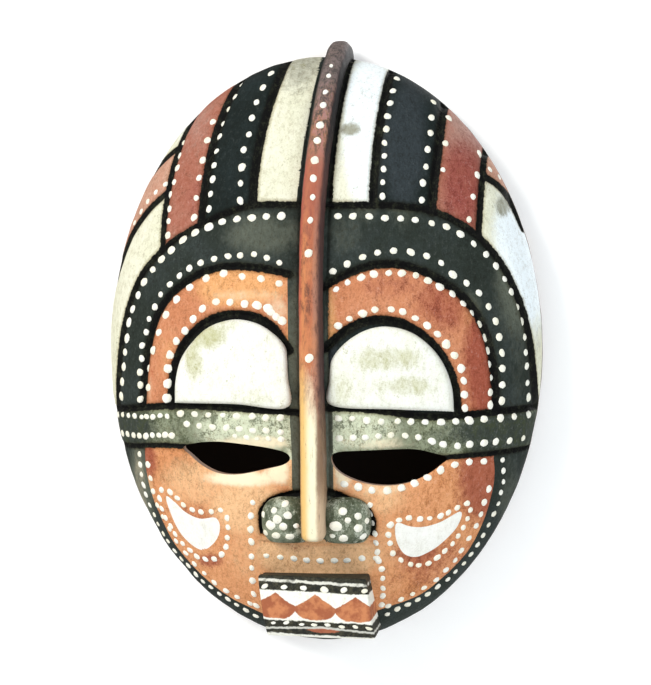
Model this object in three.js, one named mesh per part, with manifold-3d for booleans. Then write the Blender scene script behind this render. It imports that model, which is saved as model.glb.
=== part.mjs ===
// A carved and painted wooden face mask for a wall, with the hanger on its back.
// Millimetres. +X is to the right as the mask is seen from the front, +Z is up and -Y is the front.
// The wall is the plane y = 0, and the origin is the nail that the hanging ring rests on.
// Inside this file, pieces are made about the centre of the oval, and "out" is the distance in front of the wall.

import * as THREE from "three";
import { mergeVertices } from "three/addons/utils/BufferGeometryUtils.js";
import Module from "manifold-3d";

const wasm = await Module();
wasm.setup();

// ---- Driving sizes -------------------------------------------------------------------------------------------

// The oval shell: a domed front on a straight rim, hollowed from behind.
const HALF_WIDTH = 110;
const HALF_HEIGHT = 148;
const RIM_DEPTH = 14;
const DOME_RISE = 50;
const DOME_FULLNESS = 2.3; // 2 is an ellipse, and more is flatter in front with rounder shoulders
const FRONT_WALL = 12;
const SIDE_WALL = 13;
const TOP_LAND = 44; // height of the solid wood left at the top, where the hanger is fixed

const GLUE_GAP = 0.3; // round everything that is let into the shell
const SEAT_DEPTH = 4; // how deep the applied carvings are let into the shell

// The line through the middle of the crown, which swings to the right towards the top.
const LEAN_START = 60;
const LEAN_AT_TOP = 8;
const LEAN_POWER = 1.4;

// The crest, which runs down the forehead and becomes the bridge of the nose.
const CREST_WIDTH = 12;
const NOSE_WIDTH = 15;
const NOSE_LENGTH = 124; // the lower stretch of the crest, which widens and rises into the nose
const CREST_HEIGHT = 8;
const NOSE_HEIGHT = 15;
const CREST_ROUNDING = 3.2;
const CREST_BACK = 5; // how far the top end stops in front of the wall

// The nostrils, one each side of the nose.
const NOSTRIL_HALF_WIDTH = 13;
const NOSTRIL_HALF_HEIGHT = 12.5;
const NOSTRIL_RISE = 9;
const NOSTRIL_ABOVE_MOUTH = 15; // from the top of the mouth block to the bottom of a nostril
const NOSE_INTO_NOSTRILS = 2; // from there up to the end of the nose

// The box-shaped mouth.
const MOUTH_WIDTH = 57;
const MOUTH_LIP = 5; // the sloping face at the top
const MOUTH_LIP_BACK = 5;
const MOUTH_FRONT = 17; // the upright face
const MOUTH_CHIN = 8; // the sloping face at the bottom
const MOUTH_CHIN_BACK = 7;
const MOUTH_OUT = 67; // from the wall to the upright face
const MOUTH_ABOVE_CHIN = 7; // from the bottom of the oval
const MOUTH_EDGE = 0.8;

// The eyes: a bulging lid above each slit.
const EYE_SPACING = 78;
const EYE_CENTRE = -1.5;
const RIGHT_EYE_DROP = 2.5;
const SLIT_ABOVE_NOSE = 47; // from the end of the nose to the slit's top
const LID_ABOVE_SLIT = 19; // from the slit's top to the lid's base
const LID_HALF_WIDTH = 29.5;
const LID_HEIGHT = 41;
const LID_RISE = 2.5;
const LID_INNER_CLEAR = { left: 5.5, right: 2 }; // from the crest's side to the lid
const SLIT_WIDTH = 52;
const SLIT_HEIGHT = 15;
const SLIT_TOP_BOW = 2;

// Wooden pegs through the shell into the crest and the mouth block.
const PEG_RADIUS = 3;
const PEG_PROUD = 1; // inside the hollow
const PEG_GRIP = 8; // in the carving
const PEG_BELOW_LAND = 16;
const PEG_ABOVE_NOSE = 36; // from the end of the nose
const MOUTH_PEG_SPACING = 36;

// The hanger: a strap with a rolled eye, two screws and a ring, sunk below the back so that the rim meets the wall.
const WIRE_RADIUS = 1;
const RING_INNER_WIDTH = 11;
const RING_INNER_HEIGHT = 9;
const EYE_CLEARANCE = 0.2;
const STRAP_WIDTH = 9;
const STRAP_THICKNESS = 1.2;
const STRAP_LENGTH = 18; // from the middle of the eye to the strap's end
const STRAP_OUT = 3; // from the wall to the strap's face
const SCREW_RADIUS = 1.4;
const SCREW_LENGTH = 12;
const HEAD_RADIUS = 2.6;
const HEAD_HEIGHT = 1.6;
const SCREW_PLACES = { upper: 5.5, lower: 13.5 }; // below the middle of the eye
const RECESS_SIDE = 1.75; // each side of the ring
const RING_ABOVE = 2; // from the ring to the recess's top
const NAIL_POCKET_DEPTH = 12;
const RECESS_BELOW_EDGE = 9; // from the top of the oval to the top of the recess

const ROUND = 64; // facets round the oval

// ---- Places worked out from the sizes ------------------------------------------------------------------------

const EYE_OUTER = WIRE_RADIUS + EYE_CLEARANCE + STRAP_THICKNESS;
const RECESS_TOP = HALF_HEIGHT - RECESS_BELOW_EDGE;
const RING_BOW = RING_INNER_HEIGHT + 2 * WIRE_RADIUS; // between the middles of the wire
const RING_AXIS_Z = RECESS_TOP - RING_ABOVE - WIRE_RADIUS - RING_BOW;
const RING_AXIS_OUT = STRAP_OUT;
const NAIL_Z = RING_AXIS_Z + RING_BOW - WIRE_RADIUS;
const RECESS_HALF_WIDTH = RING_INNER_WIDTH / 2 + 2 * WIRE_RADIUS + RECESS_SIDE;
const MOUTH_BOTTOM = -HALF_HEIGHT + MOUTH_ABOVE_CHIN;
const MOUTH_TOP = MOUTH_BOTTOM + MOUTH_CHIN + MOUTH_FRONT + MOUTH_LIP;
const NOSE_END = MOUTH_TOP + NOSTRIL_ABOVE_MOUTH + NOSE_INTO_NOSTRILS;
const SLIT_TOP = NOSE_END + SLIT_ABOVE_NOSE;
const LID_BASE = SLIT_TOP + LID_ABOVE_SLIT;
const HOLLOW_TOP = HALF_HEIGHT - TOP_LAND;

// ---- Solids --------------------------------------------------------------------------------------------------

// A closed geometry as a solid for cutting and joining.
function solidOf(geometry) {
  const bare = geometry.clone();
  bare.deleteAttribute("normal");
  bare.deleteAttribute("uv");
  const merged = mergeVertices(bare, 1e-4);
  const mesh = new wasm.Mesh({
    numProp: 3,
    vertProperties: merged.attributes.position.array,
    triVerts: new Uint32Array(merged.index.array),
  });
  return new wasm.Manifold(mesh);
}

function geometryOf(solid) {
  const { numProp, vertProperties, triVerts } = solid.getMesh();
  const positions = new Float32Array((vertProperties.length / numProp) * 3);
  for (let i = 0; i * 3 < positions.length; i++) {
    positions.set(vertProperties.subarray(i * numProp, i * numProp + 3), i * 3);
  }
  const geometry = new THREE.BufferGeometry();
  geometry.setAttribute("position", new THREE.BufferAttribute(positions, 3));
  geometry.setIndex(new THREE.BufferAttribute(triVerts, 1));
  geometry.computeVertexNormals();
  return geometry;
}

// A flat shape drawn in x and z, made solid from one distance in front of the wall to another.
function throughFront(shape, fromOut, toOut, curveSegments = 24) {
  const options = { depth: toOut - fromOut, bevelEnabled: false, curveSegments };
  const geometry = new THREE.ExtrudeGeometry(shape, options);
  return geometry.translate(0, 0, fromOut).rotateX(Math.PI / 2);
}

// A side view drawn as (height, out), made solid across x.
function acrossWidth(sideView, width, rounding = 0) {
  const options = {
    depth: width - 2 * rounding,
    bevelEnabled: rounding > 0,
    bevelSize: rounding,
    bevelOffset: -rounding,
    bevelThickness: rounding,
    bevelSegments: 3,
    curveSegments: 24,
  };
  const geometry = new THREE.ExtrudeGeometry(sideView, options);
  geometry.translate(0, 0, rounding - width / 2);
  // The shape's x becomes height, its y becomes out, and its depth becomes width.
  const turn = new THREE.Matrix4().set(0, 0, 1, 0, 0, -1, 0, 0, 1, 0, 0, 0, 0, 0, 0, 1);
  return geometry.applyMatrix4(turn);
}

function block(xSize, outFrom, outTo, zFrom, zTo, x = 0) {
  const geometry = new THREE.BoxGeometry(xSize, outTo - outFrom, zTo - zFrom);
  return geometry.translate(x, -(outFrom + outTo) / 2, (zFrom + zTo) / 2);
}

// A round bar pointing straight out from the wall.
function roundBar(radius, fromOut, toOut, x, z, facets = 20) {
  const geometry = new THREE.CylinderGeometry(radius, radius, toOut - fromOut, facets);
  return geometry.translate(x, -(fromOut + toOut) / 2, z);
}

// ---- The oval and its surfaces -------------------------------------------------------------------------------

// How far out a domed surface stands at (x, z). grow moves it outwards all over, as an even skin.
function frontOut(x, z, grow = 0) {
  const radius = Math.hypot(x / (HALF_WIDTH + grow), z / (HALF_HEIGHT + grow));
  const inside = Math.max(0, 1 - radius ** DOME_FULLNESS);
  return RIM_DEPTH + (DOME_RISE + grow) * Math.sqrt(inside);
}

// A half egg: straight sides up to sideOut, then a dome of the given rise.
function dome(halfWidth, halfHeight, backOut, sideOut, rise, rings = 14) {
  const profile = [new THREE.Vector2(0, backOut), new THREE.Vector2(1, backOut)];
  for (let i = 0; i <= rings; i++) {
    const angle = (1 - i / rings) * (Math.PI / 2);
    const radius = Math.sin(angle) ** (2 / DOME_FULLNESS);
    profile.push(new THREE.Vector2(i === rings ? 0 : radius, sideOut + rise * Math.cos(angle)));
  }
  const geometry = new THREE.LatheGeometry(profile, ROUND);
  return geometry.scale(halfWidth, 1, halfHeight).rotateX(Math.PI);
}

// The outer form of the shell, made larger or smaller all over by grow.
function outerForm(grow = 0, backOut = 0) {
  return solidOf(dome(HALF_WIDTH + grow, HALF_HEIGHT + grow, backOut, RIM_DEPTH, DOME_RISE + grow));
}

function hollowForm() {
  const rise = DOME_RISE - FRONT_WALL;
  const egg = dome(HALF_WIDTH - SIDE_WALL, HALF_HEIGHT - SIDE_WALL, -1, RIM_DEPTH, rise, 11);
  const below = block(2 * HALF_WIDTH, -2, RIM_DEPTH + DOME_RISE, -HALF_HEIGHT, HOLLOW_TOP);
  return solidOf(egg).intersect(solidOf(below));
}

// Everything in front of a surface that lies depth under the shell's own.
function inFrontOf(depth) {
  const reach = RIM_DEPTH + DOME_RISE + 40;
  const room = block(2 * HALF_WIDTH + 40, -5, reach, -HALF_HEIGHT - 20, HALF_HEIGHT + 20);
  return solidOf(room).subtract(outerForm(-depth, -6));
}

// How far the middle line of the crown stands to the right at height z.
function lean(z) {
  const share = Math.max(0, z - LEAN_START) / (HALF_HEIGHT - LEAN_START);
  return LEAN_AT_TOP * share ** LEAN_POWER;
}

// How far out the hollow's front stands, for the pegs that end in it.
function hollowOut(x, z) {
  const radius = Math.hypot(x / (HALF_WIDTH - SIDE_WALL), z / (HALF_HEIGHT - SIDE_WALL));
  const inside = Math.max(0, 1 - radius ** DOME_FULLNESS);
  return RIM_DEPTH + (DOME_RISE - FRONT_WALL) * Math.sqrt(inside);
}

// ---- Crest and nose ------------------------------------------------------------------------------------------

// The share of the way from the middle of the forehead to the tip of the nose.
function noseShare(height) {
  return 1 - THREE.MathUtils.smoothstep(height, NOSE_END, NOSE_END + NOSE_LENGTH);
}

// Cross-sections up the middle of the shell's front, from the end of the nose over the top to the back of the crest.
// section(height) gives one as points (across, lift off the surface).
function upTheMiddle(section, extend) {
  const steps = 44;
  const start = -Math.asin((Math.abs(NOSE_END - extend) / HALF_HEIGHT) ** (DOME_FULLNESS / 2));
  const rows = [];
  for (let i = 0; i <= steps + 1; i++) {
    const angle = start + (Math.min(i, steps) / steps) * (Math.PI / 2 - start);
    const height = Math.sign(angle) * HALF_HEIGHT * Math.abs(Math.sin(angle)) ** (2 / DOME_FULLNESS);
    const normal = new THREE.Vector2(Math.sin(angle) / HALF_HEIGHT, Math.cos(angle) / DOME_RISE).normalize();
    const out = i > steps ? CREST_BACK - extend : RIM_DEPTH + DOME_RISE * Math.cos(angle);
    rows.push(
      section(height).map(([across, lift]) => {
        const x = lean(height) + across;
        return new THREE.Vector3(x, -(out + lift * normal.y), height + lift * normal.x);
      }),
    );
  }
  return loft(rows);
}

// A closed skin through rows of points, with a flat fan over each end.
function loft(rows) {
  const count = rows[0].length;
  const middle = (row) => row.reduce((sum, point) => sum.add(point), new THREE.Vector3()).divideScalar(count);
  const points = [...rows.flat(), middle(rows[0]), middle(rows[rows.length - 1])];
  const faces = [];
  for (let i = 0; i < count; i++) {
    const j = (i + 1) % count;
    for (let row = 0; row < (rows.length - 1) * count; row += count) {
      faces.push(row + i, row + count + j, row + j, row + i, row + count + i, row + count + j);
    }
    const last = (rows.length - 1) * count;
    faces.push(points.length - 2, i, j, points.length - 1, last + j, last + i);
  }
  return new THREE.BufferGeometry().setFromPoints(points).setIndex(faces);
}

// Half the crest's width, and its height off the shell.
function crestSize(height) {
  const nose = noseShare(height);
  return {
    half: THREE.MathUtils.lerp(CREST_WIDTH, NOSE_WIDTH, nose) / 2,
    rise: THREE.MathUtils.lerp(CREST_HEIGHT, NOSE_HEIGHT, nose),
  };
}

// A bar with a flat back, straight sides and a rounded front.
function crestSection(height) {
  const { half, rise } = crestSize(height);
  const section = [[-half, -SEAT_DEPTH], [half, -SEAT_DEPTH]];
  for (let i = 0; i <= 8; i++) {
    const angle = (i / 8) * Math.PI;
    section.push([half * Math.cos(angle), rise - CREST_ROUNDING * (1 - Math.sin(angle))]);
  }
  return section;
}

function crestBar() {
  return solidOf(upTheMiddle(crestSection, 0));
}

function crestChannel() {
  const section = (height) => {
    const { half, rise } = crestSize(height);
    const [side, floor, top] = [half + GLUE_GAP, -SEAT_DEPTH - GLUE_GAP, rise + 10];
    return [[-side, floor], [side, floor], [side, top], [-side, top]];
  };
  return solidOf(upTheMiddle(section, GLUE_GAP));
}

// ---- Nostrils, mouth and eyelids -----------------------------------------------------------------------------

function nostrilEgg(side, grow) {
  const z = MOUTH_TOP + NOSTRIL_ABOVE_MOUTH + NOSTRIL_HALF_HEIGHT;
  const x = side * (NOSE_WIDTH / 2 + NOSTRIL_HALF_WIDTH / 2);
  const egg = new THREE.SphereGeometry(1, 28, 18).rotateX(Math.PI / 2);
  egg.scale(NOSTRIL_HALF_WIDTH + grow, NOSTRIL_RISE + grow, NOSTRIL_HALF_HEIGHT + grow);
  return solidOf(egg.translate(x, -frontOut(x, z), z));
}

function nostril(side) {
  return nostrilEgg(side, 0).intersect(inFrontOf(SEAT_DEPTH / 2)).subtract(crestChannel());
}

// The mouth block's side view, running down its front from the top edge.
function mouthForm(grow) {
  const back = RIM_DEPTH;
  const outline = [
    [MOUTH_TOP + grow, back],
    [MOUTH_TOP + grow, MOUTH_OUT - MOUTH_LIP_BACK + grow],
    [MOUTH_TOP - MOUTH_LIP, MOUTH_OUT + grow],
    [MOUTH_BOTTOM + MOUTH_CHIN, MOUTH_OUT + grow],
    [MOUTH_BOTTOM - grow, MOUTH_OUT - MOUTH_CHIN_BACK + grow],
    [MOUTH_BOTTOM - grow, back],
  ].map(([height, out]) => new THREE.Vector2(height, out));
  const geometry = acrossWidth(new THREE.Shape(outline), MOUTH_WIDTH + 2 * grow, grow ? 0 : MOUTH_EDGE);
  return solidOf(geometry);
}

function mouthBlock() {
  return mouthForm(0).intersect(inFrontOf(SEAT_DEPTH));
}

// The eye's own place: side is -1 on the left and 1 on the right.
function eyePlace(side) {
  return { x: EYE_CENTRE + (side * EYE_SPACING) / 2, drop: side > 0 ? RIGHT_EYE_DROP : 0 };
}

// An arch on a flat base, trimmed where it meets the strip beside the crest.
function lidForm(side, grow) {
  const { x, drop } = eyePlace(side);
  const base = LID_BASE - drop - grow;
  const arch = new THREE.Shape();
  arch.moveTo(x + LID_HALF_WIDTH + grow, base);
  arch.absellipse(x, base, LID_HALF_WIDTH + grow, LID_HEIGHT + 2 * grow, 0, Math.PI, false);
  arch.closePath();
  const reach = RIM_DEPTH + DOME_RISE + 20;
  const prism = solidOf(throughFront(arch, 0, reach));
  const trim = CREST_WIDTH / 2 + (side < 0 ? LID_INNER_CLEAR.left : LID_INNER_CLEAR.right) - grow;
  const beside = block(HALF_WIDTH, 0, reach, -HALF_HEIGHT, HALF_HEIGHT, side * (trim + HALF_WIDTH / 2));
  return prism.intersect(solidOf(beside));
}

function eyelid(side) {
  return lidForm(side, 0).intersect(outerForm(LID_RISE)).intersect(inFrontOf(SEAT_DEPTH));
}

// A slit with a nearly straight top and a round belly.
function slit(side) {
  const { x, drop } = eyePlace(side);
  const top = SLIT_TOP - drop;
  const end = top - SLIT_TOP_BOW;
  const shape = new THREE.Shape();
  shape.moveTo(x - SLIT_WIDTH / 2, end);
  shape.quadraticCurveTo(x, top + SLIT_TOP_BOW, x + SLIT_WIDTH / 2, end);
  const belly = end - (SLIT_HEIGHT - SLIT_TOP_BOW) * (4 / 3);
  shape.bezierCurveTo(x + SLIT_WIDTH * 0.34, belly, x - SLIT_WIDTH * 0.34, belly, x - SLIT_WIDTH / 2, end);
  return solidOf(throughFront(shape, 0, RIM_DEPTH + DOME_RISE + 10, 14));
}

// ---- Pegs ----------------------------------------------------------------------------------------------------

function peg(x, z, grow = 0) {
  const from = hollowOut(x, z) - PEG_PROUD - (grow ? 5 : 0);
  const to = frontOut(x, z, 0) - SEAT_DEPTH + PEG_GRIP + grow;
  return solidOf(roundBar(PEG_RADIUS + grow, from, to, x, z));
}

const pegPlaces = {
  mouth_peg_left: [-MOUTH_PEG_SPACING / 2, (MOUTH_TOP + MOUTH_BOTTOM) / 2],
  mouth_peg_right: [MOUTH_PEG_SPACING / 2, (MOUTH_TOP + MOUTH_BOTTOM) / 2],
};
const pegTop = HOLLOW_TOP - PEG_BELOW_LAND;
const pegBottom = NOSE_END + PEG_ABOVE_NOSE;
const pegHeights = { upper: pegTop, middle: (pegTop + pegBottom) / 2, lower: pegBottom };
for (const [name, height] of Object.entries(pegHeights)) {
  pegPlaces["crest_peg_" + name] = [lean(height), height];
}

const pegHoles = Object.values(pegPlaces).map(([x, z]) => peg(x, z, GLUE_GAP));

function withoutPegHoles(solid) {
  return pegHoles.reduce((left, hole) => left.subtract(hole), solid);
}

// ---- Hanger --------------------------------------------------------------------------------------------------

// The sunk place for the strap, and the deeper pocket behind the ring where the nail's head goes.
function hangerRecess() {
  const floor = STRAP_OUT + STRAP_THICKNESS + GLUE_GAP;
  const bottom = RING_AXIS_Z - STRAP_LENGTH - 2;
  const shallow = block(2 * RECESS_HALF_WIDTH, -1, floor, bottom, RECESS_TOP);
  const deep = block(2 * RECESS_HALF_WIDTH, -1, NAIL_POCKET_DEPTH, RING_AXIS_Z - EYE_OUTER - 1, RECESS_TOP);
  return solidOf(shallow).add(solidOf(deep));
}

// A flat strap whose upper end is rolled round the ring's straight side.
function hangerStrap() {
  const eye = new THREE.Shape();
  eye.absarc(0, 0, EYE_OUTER, 0, 2 * Math.PI, false);
  const barrel = solidOf(acrossWidth(eye, STRAP_WIDTH));
  const bore = new THREE.Shape();
  bore.absarc(0, 0, WIRE_RADIUS + EYE_CLEARANCE, 0, 2 * Math.PI, false);
  const hole = solidOf(acrossWidth(bore, STRAP_WIDTH + 2));
  const rolled = barrel.subtract(hole).translate(0, -RING_AXIS_OUT, RING_AXIS_Z);
  const strip = block(
    STRAP_WIDTH,
    STRAP_OUT,
    STRAP_OUT + STRAP_THICKNESS,
    RING_AXIS_Z - STRAP_LENGTH,
    RING_AXIS_Z - WIRE_RADIUS - EYE_CLEARANCE - STRAP_THICKNESS / 2,
  );
  const joined = rolled.add(solidOf(strip));
  return Object.values(SCREW_PLACES).reduce((left, below) => {
    const z = RING_AXIS_Z - below;
    return left.subtract(solidOf(roundBar(SCREW_RADIUS + GLUE_GAP, 0, STRAP_OUT + 3, 0, z)));
  }, joined);
}

// A D of round wire: its straight side is the hinge, and its bow stands up from it.
class RingLine extends THREE.Curve {
  constructor() {
    super();
    const half = RING_INNER_WIDTH / 2 + WIRE_RADIUS;
    const corner = 1.6;
    const path = new THREE.Path();
    path.moveTo(0, 0);
    path.lineTo(half - corner, 0);
    path.absarc(half - corner, corner, corner, -Math.PI / 2, 0, false);
    path.lineTo(half, RING_BOW - half);
    path.absarc(0, RING_BOW - half, half, 0, Math.PI, false);
    path.lineTo(-half, corner);
    path.absarc(corner - half, corner, corner, Math.PI, Math.PI * 1.5, false);
    path.lineTo(0, 0);
    this.path = path;
  }
  getPoint(t, target = new THREE.Vector3()) {
    const flat = this.path.getPointAt(t);
    return target.set(flat.x, 0, flat.y);
  }
}

function hangerRing() {
  const wire = new THREE.TubeGeometry(new RingLine(), 56, WIRE_RADIUS, 8, true);
  return solidOf(wire.translate(0, -RING_AXIS_OUT, RING_AXIS_Z));
}

// A pan-head wood screw, driven in from the wall side.
function hangerScrew(below) {
  const profile = [
    [0, -SCREW_LENGTH],
    [SCREW_RADIUS, -SCREW_LENGTH + 3],
    [SCREW_RADIUS, 0],
    [HEAD_RADIUS, 0],
    [HEAD_RADIUS, HEAD_HEIGHT * 0.45],
    [HEAD_RADIUS * 0.72, HEAD_HEIGHT],
    [0, HEAD_HEIGHT],
  ].map(([radius, height]) => new THREE.Vector2(radius, height));
  const body = solidOf(new THREE.LatheGeometry(profile, 20));
  const slotSize = [HEAD_RADIUS * 1.2, HEAD_HEIGHT, HEAD_RADIUS * 0.28];
  const slot = new THREE.BoxGeometry(...slotSize).translate(0, HEAD_HEIGHT, 0);
  const across = slot.clone().rotateY(Math.PI / 2);
  const driven = body.subtract(solidOf(slot)).subtract(solidOf(across));
  return driven.translate(0, GLUE_GAP / 3 - STRAP_OUT, RING_AXIS_Z - below);
}

function screwHole(below) {
  const radius = SCREW_RADIUS + GLUE_GAP;
  return solidOf(roundBar(radius, 0, STRAP_OUT + SCREW_LENGTH + 1, 0, RING_AXIS_Z - below));
}

// ---- The shell, cut for everything it holds ------------------------------------------------------------------

function maskShell() {
  const cuts = [
    hollowForm(),
    slit(-1),
    slit(1),
    crestChannel(),
    nostrilEgg(-1, GLUE_GAP).intersect(inFrontOf(SEAT_DEPTH / 2 + GLUE_GAP)),
    nostrilEgg(1, GLUE_GAP).intersect(inFrontOf(SEAT_DEPTH / 2 + GLUE_GAP)),
    mouthForm(GLUE_GAP).intersect(inFrontOf(SEAT_DEPTH + GLUE_GAP)),
    lidForm(-1, GLUE_GAP).intersect(inFrontOf(SEAT_DEPTH + GLUE_GAP)),
    lidForm(1, GLUE_GAP).intersect(inFrontOf(SEAT_DEPTH + GLUE_GAP)),
    hangerRecess(),
    ...pegHoles,
    ...Object.values(SCREW_PLACES).map(screwHole),
  ];
  return cuts.reduce((left, cut) => left.subtract(cut), outerForm());
}

// ---- Assembly ------------------------------------------------------------------------------------------------

const finishes = {
  wood: { color: "#8f6844", roughness: 0.75, metalness: 0 },
  red: { color: "#b4694c", roughness: 0.65, metalness: 0 },
  black: { color: "#3d443f", roughness: 0.7, metalness: 0 },
  white: { color: "#efece0", roughness: 0.8, metalness: 0 },
  peg: { color: "#b58d5d", roughness: 0.7, metalness: 0 },
  steel: { color: "#a9a59b", roughness: 0.4, metalness: 1 },
};

const mask = new THREE.Group();
mask.position.z = -NAIL_Z;

function place(name, solid, finish) {
  const material = new THREE.MeshStandardMaterial({ ...finishes[finish], name: finish });
  const mesh = new THREE.Mesh(geometryOf(solid), material);
  mesh.name = name;
  mask.add(mesh);
}

place("mask_shell", maskShell(), "wood");
place("crest_bar", withoutPegHoles(crestBar()), "red");
place("nostril_left", nostril(-1), "black");
place("nostril_right", nostril(1), "black");
place("mouth_block", withoutPegHoles(mouthBlock()), "white");
place("eyelid_left", eyelid(-1), "white");
place("eyelid_right", eyelid(1), "white");
for (const [name, [x, z]] of Object.entries(pegPlaces)) {
  place(name, peg(x, z), "peg");
}
place("hanger_strap", hangerStrap(), "steel");
place("hanger_ring", hangerRing(), "steel");
for (const [name, below] of Object.entries(SCREW_PLACES)) {
  place("hanger_screw_" + name, hangerScrew(below), "steel");
}

const part = new THREE.Group();
part.add(mask);

export default part;
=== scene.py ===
"""The looks of a carved and painted wooden mask for a wall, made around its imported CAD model."""

import math

import bpy
import numpy as np
from bpy.props import FloatProperty, FloatVectorProperty, PointerProperty
from bpy.types import Operator, Panel, PropertyGroup
from mathutils import Matrix, Vector, geometry, kdtree, noise
from mathutils.bvhtree import BVHTree


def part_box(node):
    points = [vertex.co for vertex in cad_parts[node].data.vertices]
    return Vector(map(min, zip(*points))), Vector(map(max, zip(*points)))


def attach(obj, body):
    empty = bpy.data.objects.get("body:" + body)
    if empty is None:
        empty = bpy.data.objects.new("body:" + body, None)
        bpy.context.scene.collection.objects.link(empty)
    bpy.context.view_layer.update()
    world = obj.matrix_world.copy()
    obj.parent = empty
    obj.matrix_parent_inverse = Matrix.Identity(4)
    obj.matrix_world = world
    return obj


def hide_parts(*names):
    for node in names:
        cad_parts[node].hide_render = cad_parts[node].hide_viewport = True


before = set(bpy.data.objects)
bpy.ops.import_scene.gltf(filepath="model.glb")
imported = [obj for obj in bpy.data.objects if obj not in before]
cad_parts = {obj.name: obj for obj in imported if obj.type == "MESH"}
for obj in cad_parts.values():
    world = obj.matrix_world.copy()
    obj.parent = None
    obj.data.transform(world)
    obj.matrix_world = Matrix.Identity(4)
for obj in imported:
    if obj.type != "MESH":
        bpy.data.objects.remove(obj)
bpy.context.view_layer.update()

bl_info = {
    "name": "Carved Wall Mask",
    "version": (1, 0, 0),
    "blender": (4, 5, 0),
    "location": "View3D > Sidebar > Mask",
    "description": "Builds a carved and painted wooden mask piece by piece",
    "category": "Add Mesh",
}

# ---- Sizes from the frame ----
# Design sizes are millimetres about the middle of the oval: x to the right and z up as the mask is seen
# from the front, and out away from the wall. The row frame is in metres, with the front along -Y.

MM = 0.001
shell_low, shell_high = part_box("mask_shell")
HALF_WIDTH = (shell_high.x - shell_low.x) / 2 / MM
HALF_HEIGHT = (shell_high.z - shell_low.z) / 2 / MM
OVAL_Z = (shell_high.z + shell_low.z) / 2 / MM
RIM_DEPTH = 14.0
DOME_RISE = -shell_low.y / MM - RIM_DEPTH
DOME_FULLNESS = 2.3
FRONT_WALL = 12.0
SIDE_WALL = 13.0
HOLLOW_TOP = HALF_HEIGHT - 44.0

crest_low, crest_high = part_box("crest_bar")
NOSE_END = crest_low.z / MM - OVAL_Z + 7.0  # the nose's foot; its lifted end reaches lower
NOSE_LENGTH = 124.0
CREST_HALF = 5.9
NOSE_HALF = 6.2
CREST_RISE = 8.0
NOSE_RISE = 15.0
CREST_ROUNDING = 3.2
CREST_SEAT = 4.0
CREST_BACK = -crest_high.y / MM
# The crest's middle line as (z, x): nearly upright beside the nose, and leaning to the right over the crown.
CREST_LINE = [
    (-96, -0.6), (-55, -0.5), (-34, -0.7), (-5, -1.4), (25, -1.8), (50, -1.7), (71, -1.1), (84, -0.1),
    (98, 1.1), (110, 2.5), (123, 3.9), (136, 5.7), (148, 8.0), (160, 10.0),
]

BODY = "mask"
RING_BODY = "ring"


def in_oval(point):
    """A point of the row frame in design millimetres: x, z and out."""
    return point.x / MM, point.z / MM - OVAL_Z, -point.y / MM


def in_frame(x, z, out):
    """Design millimetres as a point of the row frame."""
    return Vector((x * MM, -out * MM, (z + OVAL_Z) * MM))


def oval_radius(x, z):
    """How far out from the middle of the oval, where 1 is its edge."""
    return np.hypot(x / HALF_WIDTH, z / HALF_HEIGHT)


def front_out(x, z):
    """How far the domed front stands off the wall."""
    return RIM_DEPTH + DOME_RISE * np.sqrt(np.clip(1 - oval_radius(x, z) ** DOME_FULLNESS, 0, None))


def front_normal(x, z):
    """The dome's outward direction in the row frame."""
    step = 0.6
    slope_x = (front_out(x + step, z) - front_out(x - step, z)) / (2 * step)
    slope_z = (front_out(x, z + step) - front_out(x, z - step)) / (2 * step)
    return Vector((-slope_x, -1, -slope_z)).normalized()


def lean(z):
    """How far to the right the crest's middle line stands at a height."""
    return float(np.interp(z, *zip(*CREST_LINE)))


def smoothstep(value, low, high):
    """0 below low, 1 above high and smooth between."""
    share = np.clip((value - low) / (high - low), 0, 1)
    return share * share * (3 - 2 * share)


# ---- Lines, fields and dots of the face ----
# Each curve passes smoothly through its points, (x, z). Left is -x.

CURVE_STEPS = 24


def through(points, step=1.3, closed=False):
    """Points every step along the smooth curve through the given ones."""
    given = [Vector(p).to_2d() for p in points]
    count = len(given)
    dense = []
    for i in range(count if closed else count - 1):
        if closed:
            a, b, c, d = (given[(i + k) % count] for k in (-1, 0, 1, 2))
        else:
            b, c = given[i], given[i + 1]
            a = given[i - 1] if i else 2 * b - c
            d = given[i + 2] if i + 2 < count else 2 * c - b
        for k in range(CURVE_STEPS):
            t = k / CURVE_STEPS
            tangents = (c - a) * t * (1 - t) ** 2 / 2 - (d - b) * t * t * (1 - t) / 2
            dense.append(b.lerp(c, t * t * (3 - 2 * t)) + tangents)
    dense.append(given[0] if closed else given[-1])
    dense = np.array(dense)
    lengths = np.concatenate([[0], np.cumsum(np.linalg.norm(np.diff(dense, axis=0), axis=1))])
    total = lengths[-1]
    places = np.linspace(0, total, max(3, round(total / step) + 1))
    return np.stack([np.interp(places, lengths, dense[:, k]) for k in (0, 1)], axis=1)


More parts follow.
